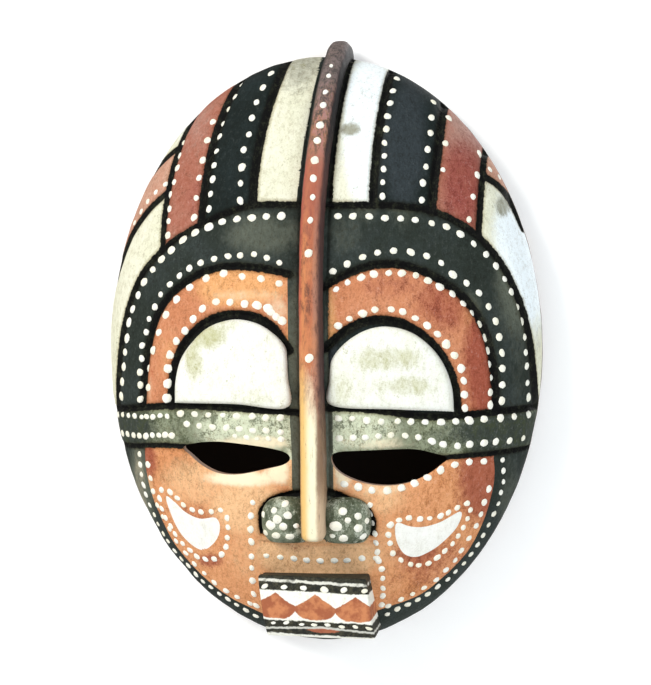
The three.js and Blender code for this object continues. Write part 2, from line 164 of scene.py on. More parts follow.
# Carved lines: the points, the full width, and how deep they are cut.
CARVED = {
    "crown_white_left": ([(-31.5, 71.5), (-30.5, 90), (-26.5, 115), (-17.5, 150)], 4.2, 1.6),
    "crown_black_left": ([(-57.8, 62.5), (-56.3, 82), (-53.5, 102), (-48.5, 120), (-38, 150)], 4.0, 1.5),
    "crown_red_left": ([(-78.3, 50), (-77.5, 70), (-74.5, 92), (-69, 112), (-60, 135)], 2.8, 1.3),
    "wedge_low_left": ([(-76.5, 79), (-88, 69.5), (-97, 58), (-103, 45), (-110, 28)], 2.8, 1.2),
    "wedge_high_left": ([(-74, 101), (-81, 96), (-94, 84)], 2.4, 1.1),
    "brow_left": (
        [(-9, 71.5), (-30, 71.5), (-45, 67.5), (-60, 61), (-73, 53.5), (-84, 44), (-92, 33), (-98, 18),
         (-101.5, 2), (-103.5, -14), (-104.5, -29)], 3.0, 1.4),
    "arch_left": (
        [(-12, 37), (-22, 39.5), (-34, 41), (-46, 41), (-56, 38.5), (-66, 33), (-74, 26.5), (-80.5, 17),
         (-84.5, 5), (-87, -8), (-88.5, -22), (-88.7, -28)], 3.6, 1.8),
    "lid_left": (
        [(-12.5, 0), (-20, 10.5), (-29, 16), (-39, 17.6), (-49, 16.2), (-58, 11.3), (-66, 3), (-71, -8),
         (-72.8, -20), (-72.8, -28)], 4.2, 2.4),
    "band_left": ([(-112, -31), (-98, -30), (-85, -28.8), (-70, -27.6), (-50, -28.2), (-8, -30.5)], 3.2, 1.8),
    "cheek_left": ([(-112, -48.8), (-95, -49), (-80, -48), (-63, -48.3)], 2.4, 1.1),
    # the black paint in the creases over the nostrils is partly painted shade
    "nostril_left": ([(-7, -70.2), (-13, -71), (-20, -73), (-25.5, -77), (-27.6, -83), (-27, -90)], 3.0, 2.0),
    "crown_white_right": ([(28, 71.5), (28.7, 90), (30.5, 112), (35.5, 150)], 4.0, 1.6),
    "crown_black_right": ([(56.6, 68), (57.5, 82), (59.5, 104), (61.5, 132)], 4.2, 1.6),
    "crown_red_right": ([(79.2, 56.5), (80, 75), (81.5, 102), (83, 118)], 3.0, 1.4),
    "wedge_low_right": ([(81, 86.5), (88, 82), (94, 74.5), (101, 60)], 3.0, 1.3),
    "brow_right": (
        [(5, 71), (30, 71.3), (46, 70.3), (58, 68), (69, 63), (79, 56), (88, 46), (95, 34), (100.5, 20),
         (104, 5), (106, -12), (107, -29)], 3.2, 1.5),
    "arch_right": (
        [(4, 31), (15, 37), (28, 41.5), (41, 42), (53, 38.5), (64, 32.5), (73, 25), (80, 15),
         (84.5, 3), (87, -12), (88, -29)], 3.8, 1.9),
    "lid_right": (
        [(5, 1), (13, 8), (22, 13.3), (32, 15), (42, 13.5), (51, 8.6), (59, 1.3), (65, -8.5),
         (68.3, -19), (69.3, -31)], 4.2, 2.4),
    "band_right": ([(5, -28), (25, -28.7), (42, -30.8), (56, -32.5), (70, -32), (88, -30.5),
                    (112, -28.5)], 3.4, 1.8),
    "cheek_right": ([(61, -53), (74, -52), (88, -51), (112, -48.5)], 2.4, 1.1),
    # the black in the crease over the right nostril is partly painted shade, and the second, deeper line
    # below widens it
    "nostril_right": ([(6, -69.6), (12, -71.6), (18, -74.6), (24.5, -78), (27.6, -84),
                       (27.2, -90)], 3.4, 2.4),
    "nostril_deep_right": ([(12, -73.6), (18, -76), (23, -79)], 3.4, 2.6),
    "lip_top": ([(-27, -95.3), (0, -96.6), (27, -95)], 1.6, 0.9),
    "crest_left": ([(1.4, 146), (-3.3, 120), (-5.6, 98), (-7.4, 71), (-8.0, 25), (-7.4, -34),
                    (-7.2, -70)], 1.8, 0.8),
    "crest_right": ([(6.6, 78), (6.0, 60), (5.6, 25), (6.6, -34), (6.6, -68)], 2.8, 1.0),
    # crest_edge paints a black line along the crest's right foot: partly a black edge, partly painted shade
    # of the crest's right side
    "crest_edge": ([(14.4, 147), (10.5, 120), (8.1, 98), (6.4, 76)], 2.6, 0.8),
}
UNPAINTED = {"lip_top", "crest_left", "crest_right"}

# Painted edges that aren't carved.
PAINTED = {
    "jaw_left": [(-88.5, -49), (-88, -62), (-85, -76), (-79, -91), (-71, -104), (-60, -115.5),
                 (-46, -125.5), (-28, -134)],
    "jaw_right": [(86.8, -51), (87, -63), (84.5, -76), (79, -91), (71, -104), (60, -115), (48, -123.5),
                  (28, -131)],
    "strip_left": [(-0.5, 150), (-4, 122), (-7.2, 98), (-9, 80), (-9.8, 72.5), (-13.3, 68), (-13.5, 40),
                   (-13, 0), (-12.6, -28), (-11.6, -50), (-11.8, -94)],
    "strip_right": [(12.5, 150), (10.3, 122), (8.8, 98), (8.3, 72), (7, 40), (6.8, 0), (8.6, -28),
                    (8.8, -60), (9, -94)],
}
CRESCENTS = {
    "left": [(-77.5, -73.8), (-73, -76.5), (-67.5, -81.5), (-59.5, -84.5), (-51, -83.6), (-49, -89),
             (-52, -96),
             (-59, -100.6), (-66.5, -97), (-72, -90.5), (-76, -81.5)],
    "right": [(39.7, -85), (46, -87), (53, -87.4), (61, -85), (70.5, -80), (69, -87), (63, -94), (57, -99),
              (49.5, -102.6), (43.5, -101.5), (40, -96.5), (38.6, -90)],
}
SLITS = {
    "left": [(-65.5, -48.8), (-58, -46.4), (-48, -45.7), (-36, -46.7), (-24, -48.3), (-16, -50.4),
             (-13.6, -53.3),
             (-17, -56.2), (-26, -58.5), (-38, -61), (-48, -60.7), (-56, -57.3), (-62, -52.5)],
    "right": [(62.5, -53.2), (55, -50.4), (47, -48.8), (35, -49), (22, -49.5), (12, -50.2), (9, -52.8),
              (10.5, -57.5), (16, -61.8), (25, -65), (35, -66), (45, -64.6), (54, -60.5), (60, -56)],
}

CHALK, MOON, SLATE, STRIPE, TERRACOTTA, ROSE, ORANGE, CHEEK, BAND, RIM, WOOD = range(11)


def carved(name):
    return through(CARVED[name][0])


def painted(name):
    return through(PAINTED[name])


def fields():
    """The painted fields, as (outline, finish), each laid over those before it."""
    brow = np.vstack([carved("brow_left")[::-1], carved("brow_right")])
    slit_edge = [(-63, -48), (-40, -54), (-14, -54), (9, -55), (35, -58), (61, -53)]
    cheeks = np.vstack([slit_edge, [(88, -51)], painted("jaw_right"), painted("jaw_left")[::-1]])
    band = np.vstack([carved("band_left"), carved("band_right"), carved("cheek_right")[::-1],
                      slit_edge[::-1], carved("cheek_left")[::-1]])
    laid = [
        ([carved("crown_white_left"), carved("crown_black_left")[::-1]], STRIPE),
        ([carved("crown_black_left"), carved("crown_red_left")[::-1]], TERRACOTTA),
        ([carved("wedge_low_left"), carved("wedge_high_left")[::-1]], ROSE),
        ([carved("crown_white_right"), carved("crown_black_right")[::-1]], STRIPE),
        ([carved("crown_black_right"), carved("crown_red_right")[::-1]], TERRACOTTA),
        ([carved("wedge_low_right"), [(112, 110), (84, 118), (81.3, 100)]], ROSE),
        ([brow, [(107, -40), (-104.5, -40)]], SLATE),
        ([carved("arch_left"), [(-88.7, -38), (-12, -38)]], ORANGE),
        ([carved("arch_right"), [(88, -38), (4, -38)]], ORANGE),
        ([carved("lid_left"), [(-72.8, -40), (-12, -40)]], STRIPE),
        ([carved("lid_right"), [(69.3, -40), (5, -40)]], STRIPE),
        ([[(-125, -47), (125, -47), (125, -160), (-125, -160)]], SLATE),
        ([band], BAND),
        ([cheeks], CHEEK),
        ([through(CRESCENTS["left"], closed=True)], MOON),
        ([through(CRESCENTS["right"], closed=True)], MOON),
        ([painted("strip_left"), painted("strip_right")[::-1]], SLATE),
    ]
    return [(np.vstack(outline), finish) for outline, finish in laid]


# Rows of dots on the shell: the points they follow, how many, and their width.
DOT_ROWS = [
    ([(-38, 74), (-37.3, 93), (-35, 108), (-31, 126), (-26, 139)], 9, 4.0),
    ([(-53.7, 70), (-51.7, 95), (-48.2, 115), (-41.5, 134)], 10, 3.3),
    ([(-61.5, 66), (-59.5, 90), (-54.5, 114)], 6, 3.5),
    ([(-75.8, 57), (-74.7, 78), (-70, 104)], 8, 3.2),
    ([(-78.5, 83), (-88, 75), (-96, 64)], 5, 3.2),
    ([(-17, 65.8), (-42, 64.3), (-65, 56), (-84, 39), (-94, 22), (-98.6, 2), (-102, -24)], 20, 4.3),
    ([(-17.5, 42.8), (-30, 47), (-49, 45.5), (-65, 39.5), (-76, 30), (-84, 17.5), (-89, 0),
      (-90.7, -25)], 19, 3.5),
    ([(-17.5, 33), (-34, 36.2), (-50, 37), (-66, 28.5), (-78.5, 12), (-84.3, -6), (-86, -19)], 12, 4.0),
    ([(-16, 14.5), (-25, 21), (-38, 23), (-53.5, 22.5), (-66, 9), (-73.7, -3), (-75.6, -24)], 14, 4.3),
    ([(-105, -33.6), (-88, -33.5), (-75.5, -33)], 9, 3.2),
    ([(-68, -31.8), (-44, -32.3), (-17, -33)], 8, 3.5),
    ([(-65, -36.5), (-50, -38.2), (-17, -40)], 8, 3.5),
    ([(-40, -42.6), (-17, -43.8)], 5, 3.0),
    ([(-18.8, 16.5), (-22.8, 20.3)], 2, 4.6),
    ([(-102, -43.2), (-88, -43.3), (-73, -42.5)], 9, 3.6),
    ([(-91.5, -53), (-91, -68), (-86.3, -83), (-79, -97.5), (-69, -110), (-56, -121.5),
      (-34, -134.8)], 21, 3.2),
    ([(-87.3, -58), (-83.7, -77), (-77, -91.5), (-67, -105.8), (-52, -119.5), (-36, -128)], 14, 3.4),
    ([(-32, -75.5), (-33, -96), (-33.8, -113), (-32.8, -129)], 9, 3.5),
    ([(-26, -102.5), (2, -104.3), (29, -103)], 9, 3.6),
    ([(32.5, 75.5), (32.9, 94), (34, 115), (37.5, 136)], 10, 3.3),
    ([(51.5, 74), (53.6, 92), (55.2, 108), (56, 124)], 7, 3.5),
    ([(61.8, 89), (63, 111), (63.5, 116)], 3, 3.3),
    ([(74.8, 64.5), (78, 83), (78.9, 98)], 4, 3.4),
    ([(83.8, 90), (88.5, 86.5)], 2, 3.2),
    ([(11, 66), (38, 65), (56, 62.5), (69, 58), (82, 48), (91, 37), (98, 22), (101.5, 8),
      (103.5, -24)], 21, 3.8),
    ([(9, 39), (24.5, 46), (39, 48.7), (57, 45.5), (69, 36), (80.5, 27), (88, 13), (91.3, -5),
      (90.8, -25)], 18, 3.9),
    ([(10.5, 30), (23.5, 36), (40, 38), (54, 35), (69, 26), (79, 14), (84, -2), (85.3, -27)], 19, 3.7),
    ([(11.5, 12.3), (23, 18), (38, 20.3), (53, 13.5), (62.5, 5.3), (69.7, -5), (73, -17),
      (73, -28.5)], 15, 4.0),
    ([(11.5, -33), (36, -34.7), (60, -35.2), (85, -34), (104, -32.3)], 14, 3.7),
    ([(12, -43), (36, -41.8), (50, -42.8), (66, -46.6), (82, -46), (101, -44.5)], 15, 3.6),
    ([(14, -65.5), (30, -69.3), (44.5, -66.8), (58, -61), (66, -57), (82, -55)], 11, 3.8),
    ([(91, -54.5), (91, -68), (87, -80), (80, -95), (70, -109), (56, -121), (33, -132.8)], 19, 3.2),
    ([(84.3, -69), (81, -79), (75, -93), (64, -109), (52, -119), (34, -128)], 13, 3.4),
    ([(26.5, -76), (28.6, -91), (30, -103), (32, -112), (30.8, -128)], 12, 3.4),
]
CRESCENT_DOTS = {
    "left": ([(-80, -70.5), (-73, -73), (-67, -79), (-57, -81), (-46.5, -80.5), (-45, -90), (-47.5, -101),
              (-56, -106),
              (-65, -102.3), (-73.5, -94), (-80.5, -81)], 23),
    "right": ([(36.5, -86), (44, -83), (58.5, -82.8), (74.5, -75.5), (72.5, -86.5), (65, -98), (56, -105.3),
               (47, -107), (38.5, -101.5), (35.5, -93)], 23),
}


# ---- Mesh helpers ----


def scatter(a, b, c, salt=0.0):
    """A repeatable number from -1 to 1 for a place."""
    return noise.noise(Vector((a * 7.31 + salt, b * 5.17 - salt, c * 3.71 + salt * 1.7)))


def ripple(points, size, salt=0.0):
    """Smooth noise from -1 to 1 at each row of points, with lumps of a given size."""
    shift = Vector((salt, -salt, salt))
    return np.array([noise.noise(Vector(p).to_3d() / size + shift) for p in points])


def placed(points):
    """Rows of x, z and out as rows of the row frame."""
    return np.stack([points[:, 0], -points[:, 2], points[:, 1] + OVAL_Z], axis=1) * MM


def linked(name, data):
    """A new object in the scene that shows the data."""
    made = bpy.data.objects.new(name, data)
    bpy.context.scene.collection.objects.link(made)
    return made


def new_piece(name, points, faces):
    """A mesh object from points of the row frame."""
    mesh = bpy.data.meshes.new(name)
    mesh.from_pydata(points, [], faces)
    mesh.update()
    return linked(name, mesh)


def carved_piece(name, points, faces):
    """A mesh object from rows of x, z and out."""
    return new_piece(name, placed(np.array(points)).tolist(), faces)


def only(piece):
    """Makes a piece the one that operators work on."""
    bpy.ops.object.select_all(action="DESELECT")
    piece.select_set(True)
    bpy.context.view_layer.objects.active = piece


def added(name):
    """Names the primitive that was just added and puts its place into its mesh."""
    piece = bpy.context.active_object
    piece.name = name
    piece.data.name = name
    only(piece)
    bpy.ops.object.transform_apply(location=True, rotation=True, scale=True)
    return piece


def apply(piece, kind, **settings):
    """Adds a modifier, sets it and applies it."""
    only(piece)
    modifier = piece.modifiers.new(kind.title(), kind)
    for key, value in settings.items():
        setattr(modifier, key, value)
    bpy.ops.object.modifier_apply(modifier=modifier.name)


def round_edges(piece, width, segments, sharper_than):
    """Bevels the edges that turn by more than an angle in degrees. The width is in millimetres."""
    limit = math.radians(sharper_than)
    apply(piece, "BEVEL", width=width * MM, segments=segments, limit_method="ANGLE", angle_limit=limit)


def cut(piece, cutter):
    apply(piece, "BOOLEAN", operation="DIFFERENCE", solver="EXACT", object=cutter)
    bpy.data.objects.remove(cutter, do_unlink=True)


def edit(piece, work):
    """Runs operators on a piece in edit mode, with all of it selected at first."""
    only(piece)
    bpy.ops.object.mode_set(mode="EDIT")
    bpy.ops.mesh.select_all(action="SELECT")
    work()
    bpy.ops.object.mode_set(mode="OBJECT")


def facing_out(piece):
    """Turns a closed piece's faces outwards."""
    edit(piece, lambda: bpy.ops.mesh.normals_make_consistent(inside=False))
    return piece


def read(items, key, width=1, kind=float):
    """One property of many mesh elements, as rows of numbers."""
    flat = np.empty(len(items) * width, kind)
    items.foreach_get(key, flat)
    return flat.reshape(-1, width) if width > 1 else flat


def coordinates(piece):
    """A piece's vertices in design millimetres, as rows of x, z and out."""
    points = read(piece.data.vertices, "co", 3) / MM
    return np.stack([points[:, 0], points[:, 2] - OVAL_Z, -points[:, 1]], axis=1)


def set_coordinates(piece, points):
    piece.data.vertices.foreach_set("co", placed(points).ravel())
    piece.data.update()


def corner_shares(piece):
    """Which corner of its box each vertex of a cube is, as rows of -0.5 and 0.5 along x, z and out."""
    points = coordinates(piece)
    return np.sign(points - points.mean(0)) / 2


def keep_number(piece, name, values):
    """Stores one number at each vertex, for the finish to read."""
    attribute = piece.data.attributes.new(name, "FLOAT", "POINT")
    attribute.data.foreach_set("value", np.asarray(values, np.float32))


def finish_piece(piece, materials, smooth_under, slot, *nodes, body=BODY):
    """Shades and paints a finished piece, and puts it on its body in place of its CAD nodes."""
    only(piece)
    bpy.ops.object.shade_smooth_by_angle(angle=math.radians(smooth_under))
    for material in materials:
        piece.data.materials.append(material)
    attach(piece, body)
    if nodes:
        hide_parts(*nodes)


def triangulated(places):
    """The points of a flat sheet of triangles over the places, and its faces."""
    made = geometry.delaunay_2d_cdt([Vector(p) for p in places], [], [], 0, 1e-5)
    return np.array([tuple(p) for p in made[0]]), [list(f) for f in made[2]]


def distance_to(points, line, closed=False, reach=9.0):
    """How far each (x, z) point is from a line through points, capped at reach."""
    line = np.vstack([line, line[:1]]) if closed else line
    found = np.full(len(points), reach)
    low, high = line.min(0) - reach, line.max(0) + reach
    near = np.where(((points > low) & (points < high)).all(1))[0]
    near_points = points[near]
    best = np.full(len(near), reach)
    for a, b in zip(line[:-1], line[1:]):
        along = b - a
        share = np.clip((near_points - a) @ along / max(along @ along, 1e-9), 0, 1)
        best = np.minimum(best, np.linalg.norm(near_points - a - share[:, None] * along, axis=1))
    found[near] = best
    return found


def inside(points, outline):
    """Which (x, z) points lie inside a closed outline."""
    found = np.zeros(len(points), bool)
    low, high = outline.min(0), outline.max(0)
    near = np.where(((points >= low) & (points <= high)).all(1))[0]
    x, z = points[near, 0], points[near, 1]
    crossed = np.zeros(len(near), bool)
    for (x0, z0), (x1, z1) in zip(outline, np.roll(outline, -1, axis=0)):
        if z0 != z1:
            crossed ^= ((z0 > z) != (z1 > z)) & (x < x0 + (z - z0) * (x1 - x0) / (z1 - z0))
    found[near] = crossed
    return found


# ---- Finishes ----


class Link:
    """A shader socket that sums can be written with."""

    def __init__(self, finish, socket):
        self.finish = finish
        self.socket = socket

    def math(self, operation, *others):
        inputs = {i: value for i, value in enumerate((self, *others))}
        return self.finish.node("ShaderNodeMath", {"operation": operation}, inputs)

    def __add__(self, other):
        return self.math("ADD", other)

    def __sub__(self, other):
        return self.math("SUBTRACT", other)

    def __rsub__(self, other):
        return self.finish.node("ShaderNodeMath", {"operation": "SUBTRACT"}, {0: other, 1: self})

    def __mul__(self, other):
        return self.math("MULTIPLY", other)

    __radd__ = __add__
    __rmul__ = __mul__

    def rises(self, low, high):
        """0 below low, 1 above high and smooth between. High may be less than low."""
        if low > high:
            return 1 - self.rises(high, low)
        inputs = {"Value": self, "From Min": low, "From Max": high}
        return self.finish.node("ShaderNodeMapRange", {"interpolation_type": "SMOOTHSTEP"}, inputs)


class Finish:
    """A material and the nodes it is made of."""

    def __init__(self, name, roughness, specular):
        self.material = bpy.data.materials.new(name)
        self.material.use_nodes = True
        self.tree = self.material.node_tree
        self.shader = self.tree.nodes["Principled BSDF"]
        self.shader.inputs["Roughness"].default_value = roughness
        self.shader.inputs["Specular IOR Level"].default_value = specular
        self.place = self.node("ShaderNodeTexCoord", {}, {}, "Object")

    def node(self, kind, settings, inputs, output=0):
        """Adds a node, with its settings set before its inputs' values or links."""
        made = self.tree.nodes.new(kind)
        for key, value in settings.items():
            setattr(made, key, value)
        for key, value in inputs.items():
            if isinstance(value, Link):
                self.tree.links.new(value.socket, made.inputs[key])
            elif isinstance(value, tuple) and made.inputs[key].type == "RGBA":
                made.inputs[key].default_value = (*value, 1)
            else:
                made.inputs[key].default_value = value
        return Link(self, made.outputs[output])

    def noise(self, size, detail, upright=1.0, shift=0.0, roughness=0.55):
        """Noise about 0.5. Its lumps are size millimetres wide, and upright times as tall."""
        inputs = {"Vector": self.place, "Scale": (1, 1, 1 / upright), "Location": (shift,) * 3}
        moved = self.node("ShaderNodeMapping", {}, inputs)
        inputs = {"Vector": moved, "Scale": 1 / (size * MM), "Detail": detail, "Roughness": roughness}
        return self.node("ShaderNodeTexNoise", {}, inputs)

    def number(self, name):
        """A number kept at the vertices."""
        return self.node("ShaderNodeAttribute", {"attribute_name": name}, {}, "Fac")

    def along(self, axis):
        """The object's own x, y or z, in millimetres of the row frame."""
        return self.node("ShaderNodeSeparateXYZ", {}, {0: self.place}, axis) * (1 / MM)

    def height(self):
        """How far up from the middle of the oval, in millimetres."""
        return self.along(2) + -OVAL_Z

    def mix(self, a, b, mask, blend_type="MIX"):
        settings = {"data_type": "RGBA", "blend_type": blend_type}
        return self.node("ShaderNodeMix", settings, {0: mask, 6: a, 7: b}, 2)

    def coats(self, base, *layers):
        """Lays colours over a base in turn. Each is its colour and mask, and may be multiplied in."""
        for layer in layers:
            base = self.mix(base, *layer)
        return base

    def set(self, name, link):
        self.tree.links.new(link.socket, self.shader.inputs[name])

    def bump(self, height, millimetres):
        """Raises the surface by up to a number of millimetres times height."""
        inputs = {"Height": height, "Strength": 1.0, "Distance": millimetres * MM}
        self.set("Normal", self.node("ShaderNodeBump", {}, inputs, "Normal"))


LINE_BLACK = (0.004, 0.004, 0.004)
LINE_RUBBED = (0.03, 0.033, 0.02)
IVORY = (0.86, 0.74, 0.52)
OLIVE = (0.22, 0.21, 0.09)
PAINT_ROUGHNESS = 0.75
PAINT_SPECULAR = 0.09


def paint(name, colour, patch, light=None, deep=None, stain=None, stain_share=0.25, lines=False, soil=0.7,
          dust=0.12):
    """Old matt paint on carved wood: patches of a second tone, dirt, stains, and brushed bump.

    Light and deep are the tones of the places that are listed as such; on the shell they lay painted light
    and painted shade as well as the paint's own tone. With lines, the carved lines are painted black, and the
    worn places show the pale ground, which on the left jaw is a painted highlight.
    """
    f = Finish(name, PAINT_ROUGHNESS, PAINT_SPECULAR)
    broad = f.noise(22, 4, 1.6, 1.3)
    fine = f.noise(3.0, 6, 1.7, 4.1, 0.75)
    grit = f.noise(0.75, 3, 1, 2.2, 0.8)
    grain = f.noise(1.7, 4, 1.5, 6.3, 0.8)
    loose = 0.9 * (fine - 0.5) + 0.7 * (broad - 0.5) + 0.4 * (grit - 0.5)
    base = f.mix(colour, patch, (broad + 0.7 * fine).rises(0.72, 1.05))
    # on the shell the light and deep tones lay painted light and painted shade as well as the paint's own
    # tone
    if light:
        base = f.mix(base, light, (f.number("light") + loose).rises(0.12, 0.85))
    if deep:
        base = f.mix(base, deep, (f.number("deep") + loose).rises(0.15, 0.85))
    base = f.coats(
        base,
        ((0.38, 0.34, 0.28), (fine + 0.8 * grit).rises(0.88, 1.12) * (soil * 0.7), "MULTIPLY"),
        ((0.62, 0.6, 0.56), (broad + 0.5 * fine + 0.3 * grit).rises(0.98, 1.2) * soil, "MULTIPLY"),
        ((0.55, 0.46, 0.38), (grain + 0.3 * grit).rises(0.6, 0.85) * (soil * 0.8), "MULTIPLY"),
        ((1.0, 0.96, 0.88), (grain + 0.4 * grit).rises(0.66, 0.42) * dust),
    )
    if stain:
        spots = f.noise(6, 6, 1.3, 7.7, 0.75) + 0.5 * grit
        base = f.mix(base, stain, spots.rises(0.98 - 0.3 * stain_share, 1.06 - 0.22 * stain_share) * 0.75)
    if lines:
        edge = f.number("line") + 2.4 * (f.noise(2.0, 5, 1, 5.5, 0.7) - 0.5)
        black = f.mix(LINE_BLACK, LINE_RUBBED, (fine + 0.6 * grit).rises(0.76, 1.05))
        base = f.coats(
            base,
            (IVORY, (f.number("worn") + loose * 0.8).rises(0.2, 0.95)),
            ((0.42, 0.36, 0.24), edge.rises(2.2, 0.1) * 0.6, "MULTIPLY"),
            (black, edge.rises(0.4, -0.1)),
        )
    f.set("Base Color", base)
    f.set("Roughness", PAINT_ROUGHNESS - 0.12 + 0.24 * fine)
    f.bump(fine * 0.8 + grit * 0.35 + broad * 0.8, 0.5)
    return f.material


def wood(name, light, dark, roughness=0.75, streak=1.0):
    """Bare carved hardwood with rings and streaks of grain running up the mask."""
    f = Finish(name, roughness, 0.25)
    bend = f.noise(60 * streak, 3, 3, 0.6)
    grain = f.noise(2.6 * streak, 6, 26, 3.1, 0.6)
    fibre = f.noise(0.8 * streak, 4, 34, 8.2, 0.7)
    cloud = f.noise(40 * streak, 4, 2, 12.6)
    turned = (f.along(0) + f.along(1) * 0.6) * (0.16 / streak) + bend * 7.0
    rings = (turned + 40.0).math("PINGPONG", 1.0)
    base = f.coats(
        dark,
        (light, (rings * 0.45 + grain * 0.9).rises(0.3, 0.95)),
        (tuple(0.4 * c for c in dark), fibre.rises(0.6, 0.74) * 0.6),
        (tuple(0.6 * c for c in dark), cloud.rises(0.52, 0.72) * 0.5),
        (tuple(1.5 * c for c in light), cloud.rises(0.45, 0.3) * 0.3),
    )
    f.set("Base Color", base)
    f.set("Roughness", roughness - 0.1 + 0.2 * grain)
    f.bump(grain * 0.5 + fibre.rises(0.74, 0.55) * 0.5 + rings * 0.2, 0.25)
    return f.material


def steel():
    """Dull zinc-plated steel with scratches and a little rust."""
    f = Finish("hanger_steel", 0.38, 0.5)
    scratches = f.noise(0.5, 4, 9, 2.0, 0.7)
    cloud = f.noise(3, 4, 1, 6.0)
    rust = (f.noise(1.4, 5, 1, 11.0, 0.7) + 0.3 * cloud).rises(0.78, 0.9)
    f.set("Base Color", f.coats((0.62, 0.6, 0.55), ((0.42, 0.4, 0.36), cloud), ((0.2, 0.08, 0.03), rust)))
    f.set("Metallic", 1 - 0.8 * rust)
    f.set("Roughness", 0.28 + 0.2 * scratches + 0.35 * rust)
    f.bump(scratches, 0.05)
    return f.material


# ---- Sizes and colours that a user may change ----


def amount(name, description, default, low, high, subtype="NONE"):
    return FloatProperty(name=name, description=description, default=default, min=low, max=high,
                         subtype=subtype)


class MaskCarving(PropertyGroup):
    """Sizes of the carving, in millimetres."""

    line_depth: amount("Line Depth", "Depth of the carved lines, as a share of the usual", 1.0, 0.2, 2.0,
                       "FACTOR")
    mesh_step: amount("Mesh Step", "Spacing of the shell's surface points, in millimetres", 1.9, 1.2, 6.0)
    undulation: amount("Undulation", "Height of the hand-carved unevenness, in millimetres", 0.45, 0.0, 2.0)
    gouge_depth: amount("Gouge Depth", "Depth of the tool marks in the hollow, in millimetres", 2.2, 0.0, 3.0)
    slit_rounding: amount("Slit Rounding", "How far the slits' edges are worn, in millimetres", 1.6, 0.0, 4.0)
    lid_rise: amount("Lid Rise", "How far the eyelids stand off the face, in millimetres", 2.5, 0.5, 5.0)
    dot_height: amount("Dot Height", "Thickness of the painted dots, in millimetres", 0.32, 0.05, 1.0)


def colour(name, description, default):
    return FloatVectorProperty(name=name, description=description, default=default, size=3, min=0.0, max=1.0,
                               subtype="COLOR")


class MaskPaint(PropertyGroup):
    """Colours of the paints."""

    chalk: colour("Chalk White", "The white fields", (0.74, 0.74, 0.6))
    slate: colour("Slate Black", "The brow, the jaw and the strips by the nose", (0.022, 0.029, 0.024))
    stripe: colour("Stripe Black", "The crown's black stripes", (0.009, 0.014, 0.013))
    terracotta: colour("Terracotta", "The crown's red stripes", (0.34, 0.12, 0.08))
    rose: colour("Rose", "The wedges at the temples", (0.5, 0.26, 0.18))
    orange: colour("Arch Orange", "The arches round the lids", (0.54, 0.215, 0.105))
    cheek: colour("Cheek Orange", "The cheeks and upper lip", (0.68, 0.32, 0.15))
    patina: colour("Band Patina", "The worn green-grey of the band", (0.27, 0.3, 0.2))


def carving():
    return bpy.context.scene.mask_carving


# ---- The shell ----

CHART_WIDTH = 130.0  # half of the dome's width and height, measured over its curve
CHART_HEIGHT = 165.0
RIM_POINTS = 420
LINE_STEP = 1.4
OUTLINE_STEP = 1.2
CLOSEST = 0.42  # points nearer than this on the flattened dome are made one
# The sides' rows behind the dome's edge, down to the flat back: how far off the wall, and how far in.
SIDE_ROWS = ((11, 0), (8, 0), (5, 0), (2.4, 0.1), (0.9, 0.4), (0.2, 1.0), (0, 1.9))
SIDE_FROM = 0.955  # how far out from the oval's middle the plain side may begin
SLIT_WALL = 6.0  # how far under the front a face is bare wood


def to_chart(points):
    """(x, z) points laid flat, so that distances are near those on the dome."""
    x, z = points[:, 0] / HALF_WIDTH, points[:, 1] / HALF_HEIGHT
    radius = np.clip(np.hypot(x, z), 1e-9, 1)
    share = np.arcsin(radius ** (DOME_FULLNESS / 2)) * 2 / np.pi
    return np.stack([x / radius * share * CHART_WIDTH, z / radius * share * CHART_HEIGHT], axis=1)


def from_chart(places):
    u, v = places[:, 0] / CHART_WIDTH, places[:, 1] / CHART_HEIGHT
    share = np.clip(np.hypot(u, v), 1e-9, 1)
    radius = np.sin(share * np.pi / 2) ** (2 / DOME_FULLNESS)
    return np.stack([u / share * radius * HALF_WIDTH, v / share * radius * HALF_HEIGHT], axis=1)


def beside(line, offset):
    """The line moved sideways."""
    along = np.gradient(line, axis=0)
    along /= np.linalg.norm(along, axis=1, keepdims=True)
    return line + offset * np.stack([-along[:, 1], along[:, 0]], axis=1)


def sheet_points(step):
    """Places on the flattened dome: its rim, rows along every line, and an even spread between."""
    angle = np.arange(RIM_POINTS) / RIM_POINTS * 2 * np.pi
    rim = np.stack([CHART_WIDTH * np.cos(angle), CHART_HEIGHT * np.sin(angle)], axis=1)
    rows = []
    for points, width, _ in CARVED.values():
        line = through(points, LINE_STEP)
        rows += [beside(line, share * width / 2) for share in (0, -0.5, 0.5, -1, 1, -1.6, 1.6)]
    outlines = [painted(name) for name in PAINTED]
    outlines += [through(points, OUTLINE_STEP, closed=True) for points in CRESCENTS.values()]
    for line in outlines:
        rows += [beside(line, offset) for offset in (0, -0.7, 0.7)]
    for points in SLITS.values():
        rows += [beside(slit_outline(points), offset) for offset in (0.3, -0.6, -1.4, -2.4)]
    own = np.vstack(rows)
    own = to_chart(own[oval_radius(own[:, 0], own[:, 1]) < 0.9975])
    cell = np.round(own / CLOSEST).astype(int)
    own = own[np.sort(np.unique(cell, axis=0, return_index=True)[1])]
    tree = kdtree.KDTree(len(own))
    for i, (u, v) in enumerate(own):
        tree.insert((u, v, 0), i)
    tree.balance()
    spread = []
    for row, v in enumerate(np.arange(-CHART_HEIGHT, CHART_HEIGHT, step * 0.866)):
        for u in np.arange(-CHART_WIDTH + (row % 2) * step / 2, CHART_WIDTH, step):
            in_rim = (u / CHART_WIDTH) ** 2 + (v / CHART_HEIGHT) ** 2 < 0.988
            if in_rim and tree.find((u, v, 0))[2] > 0.62 * step:
                spread.append((u, v))
    return np.vstack([rim, own, spread])


def slit_outline(points):
    return through(points, OUTLINE_STEP, closed=True)


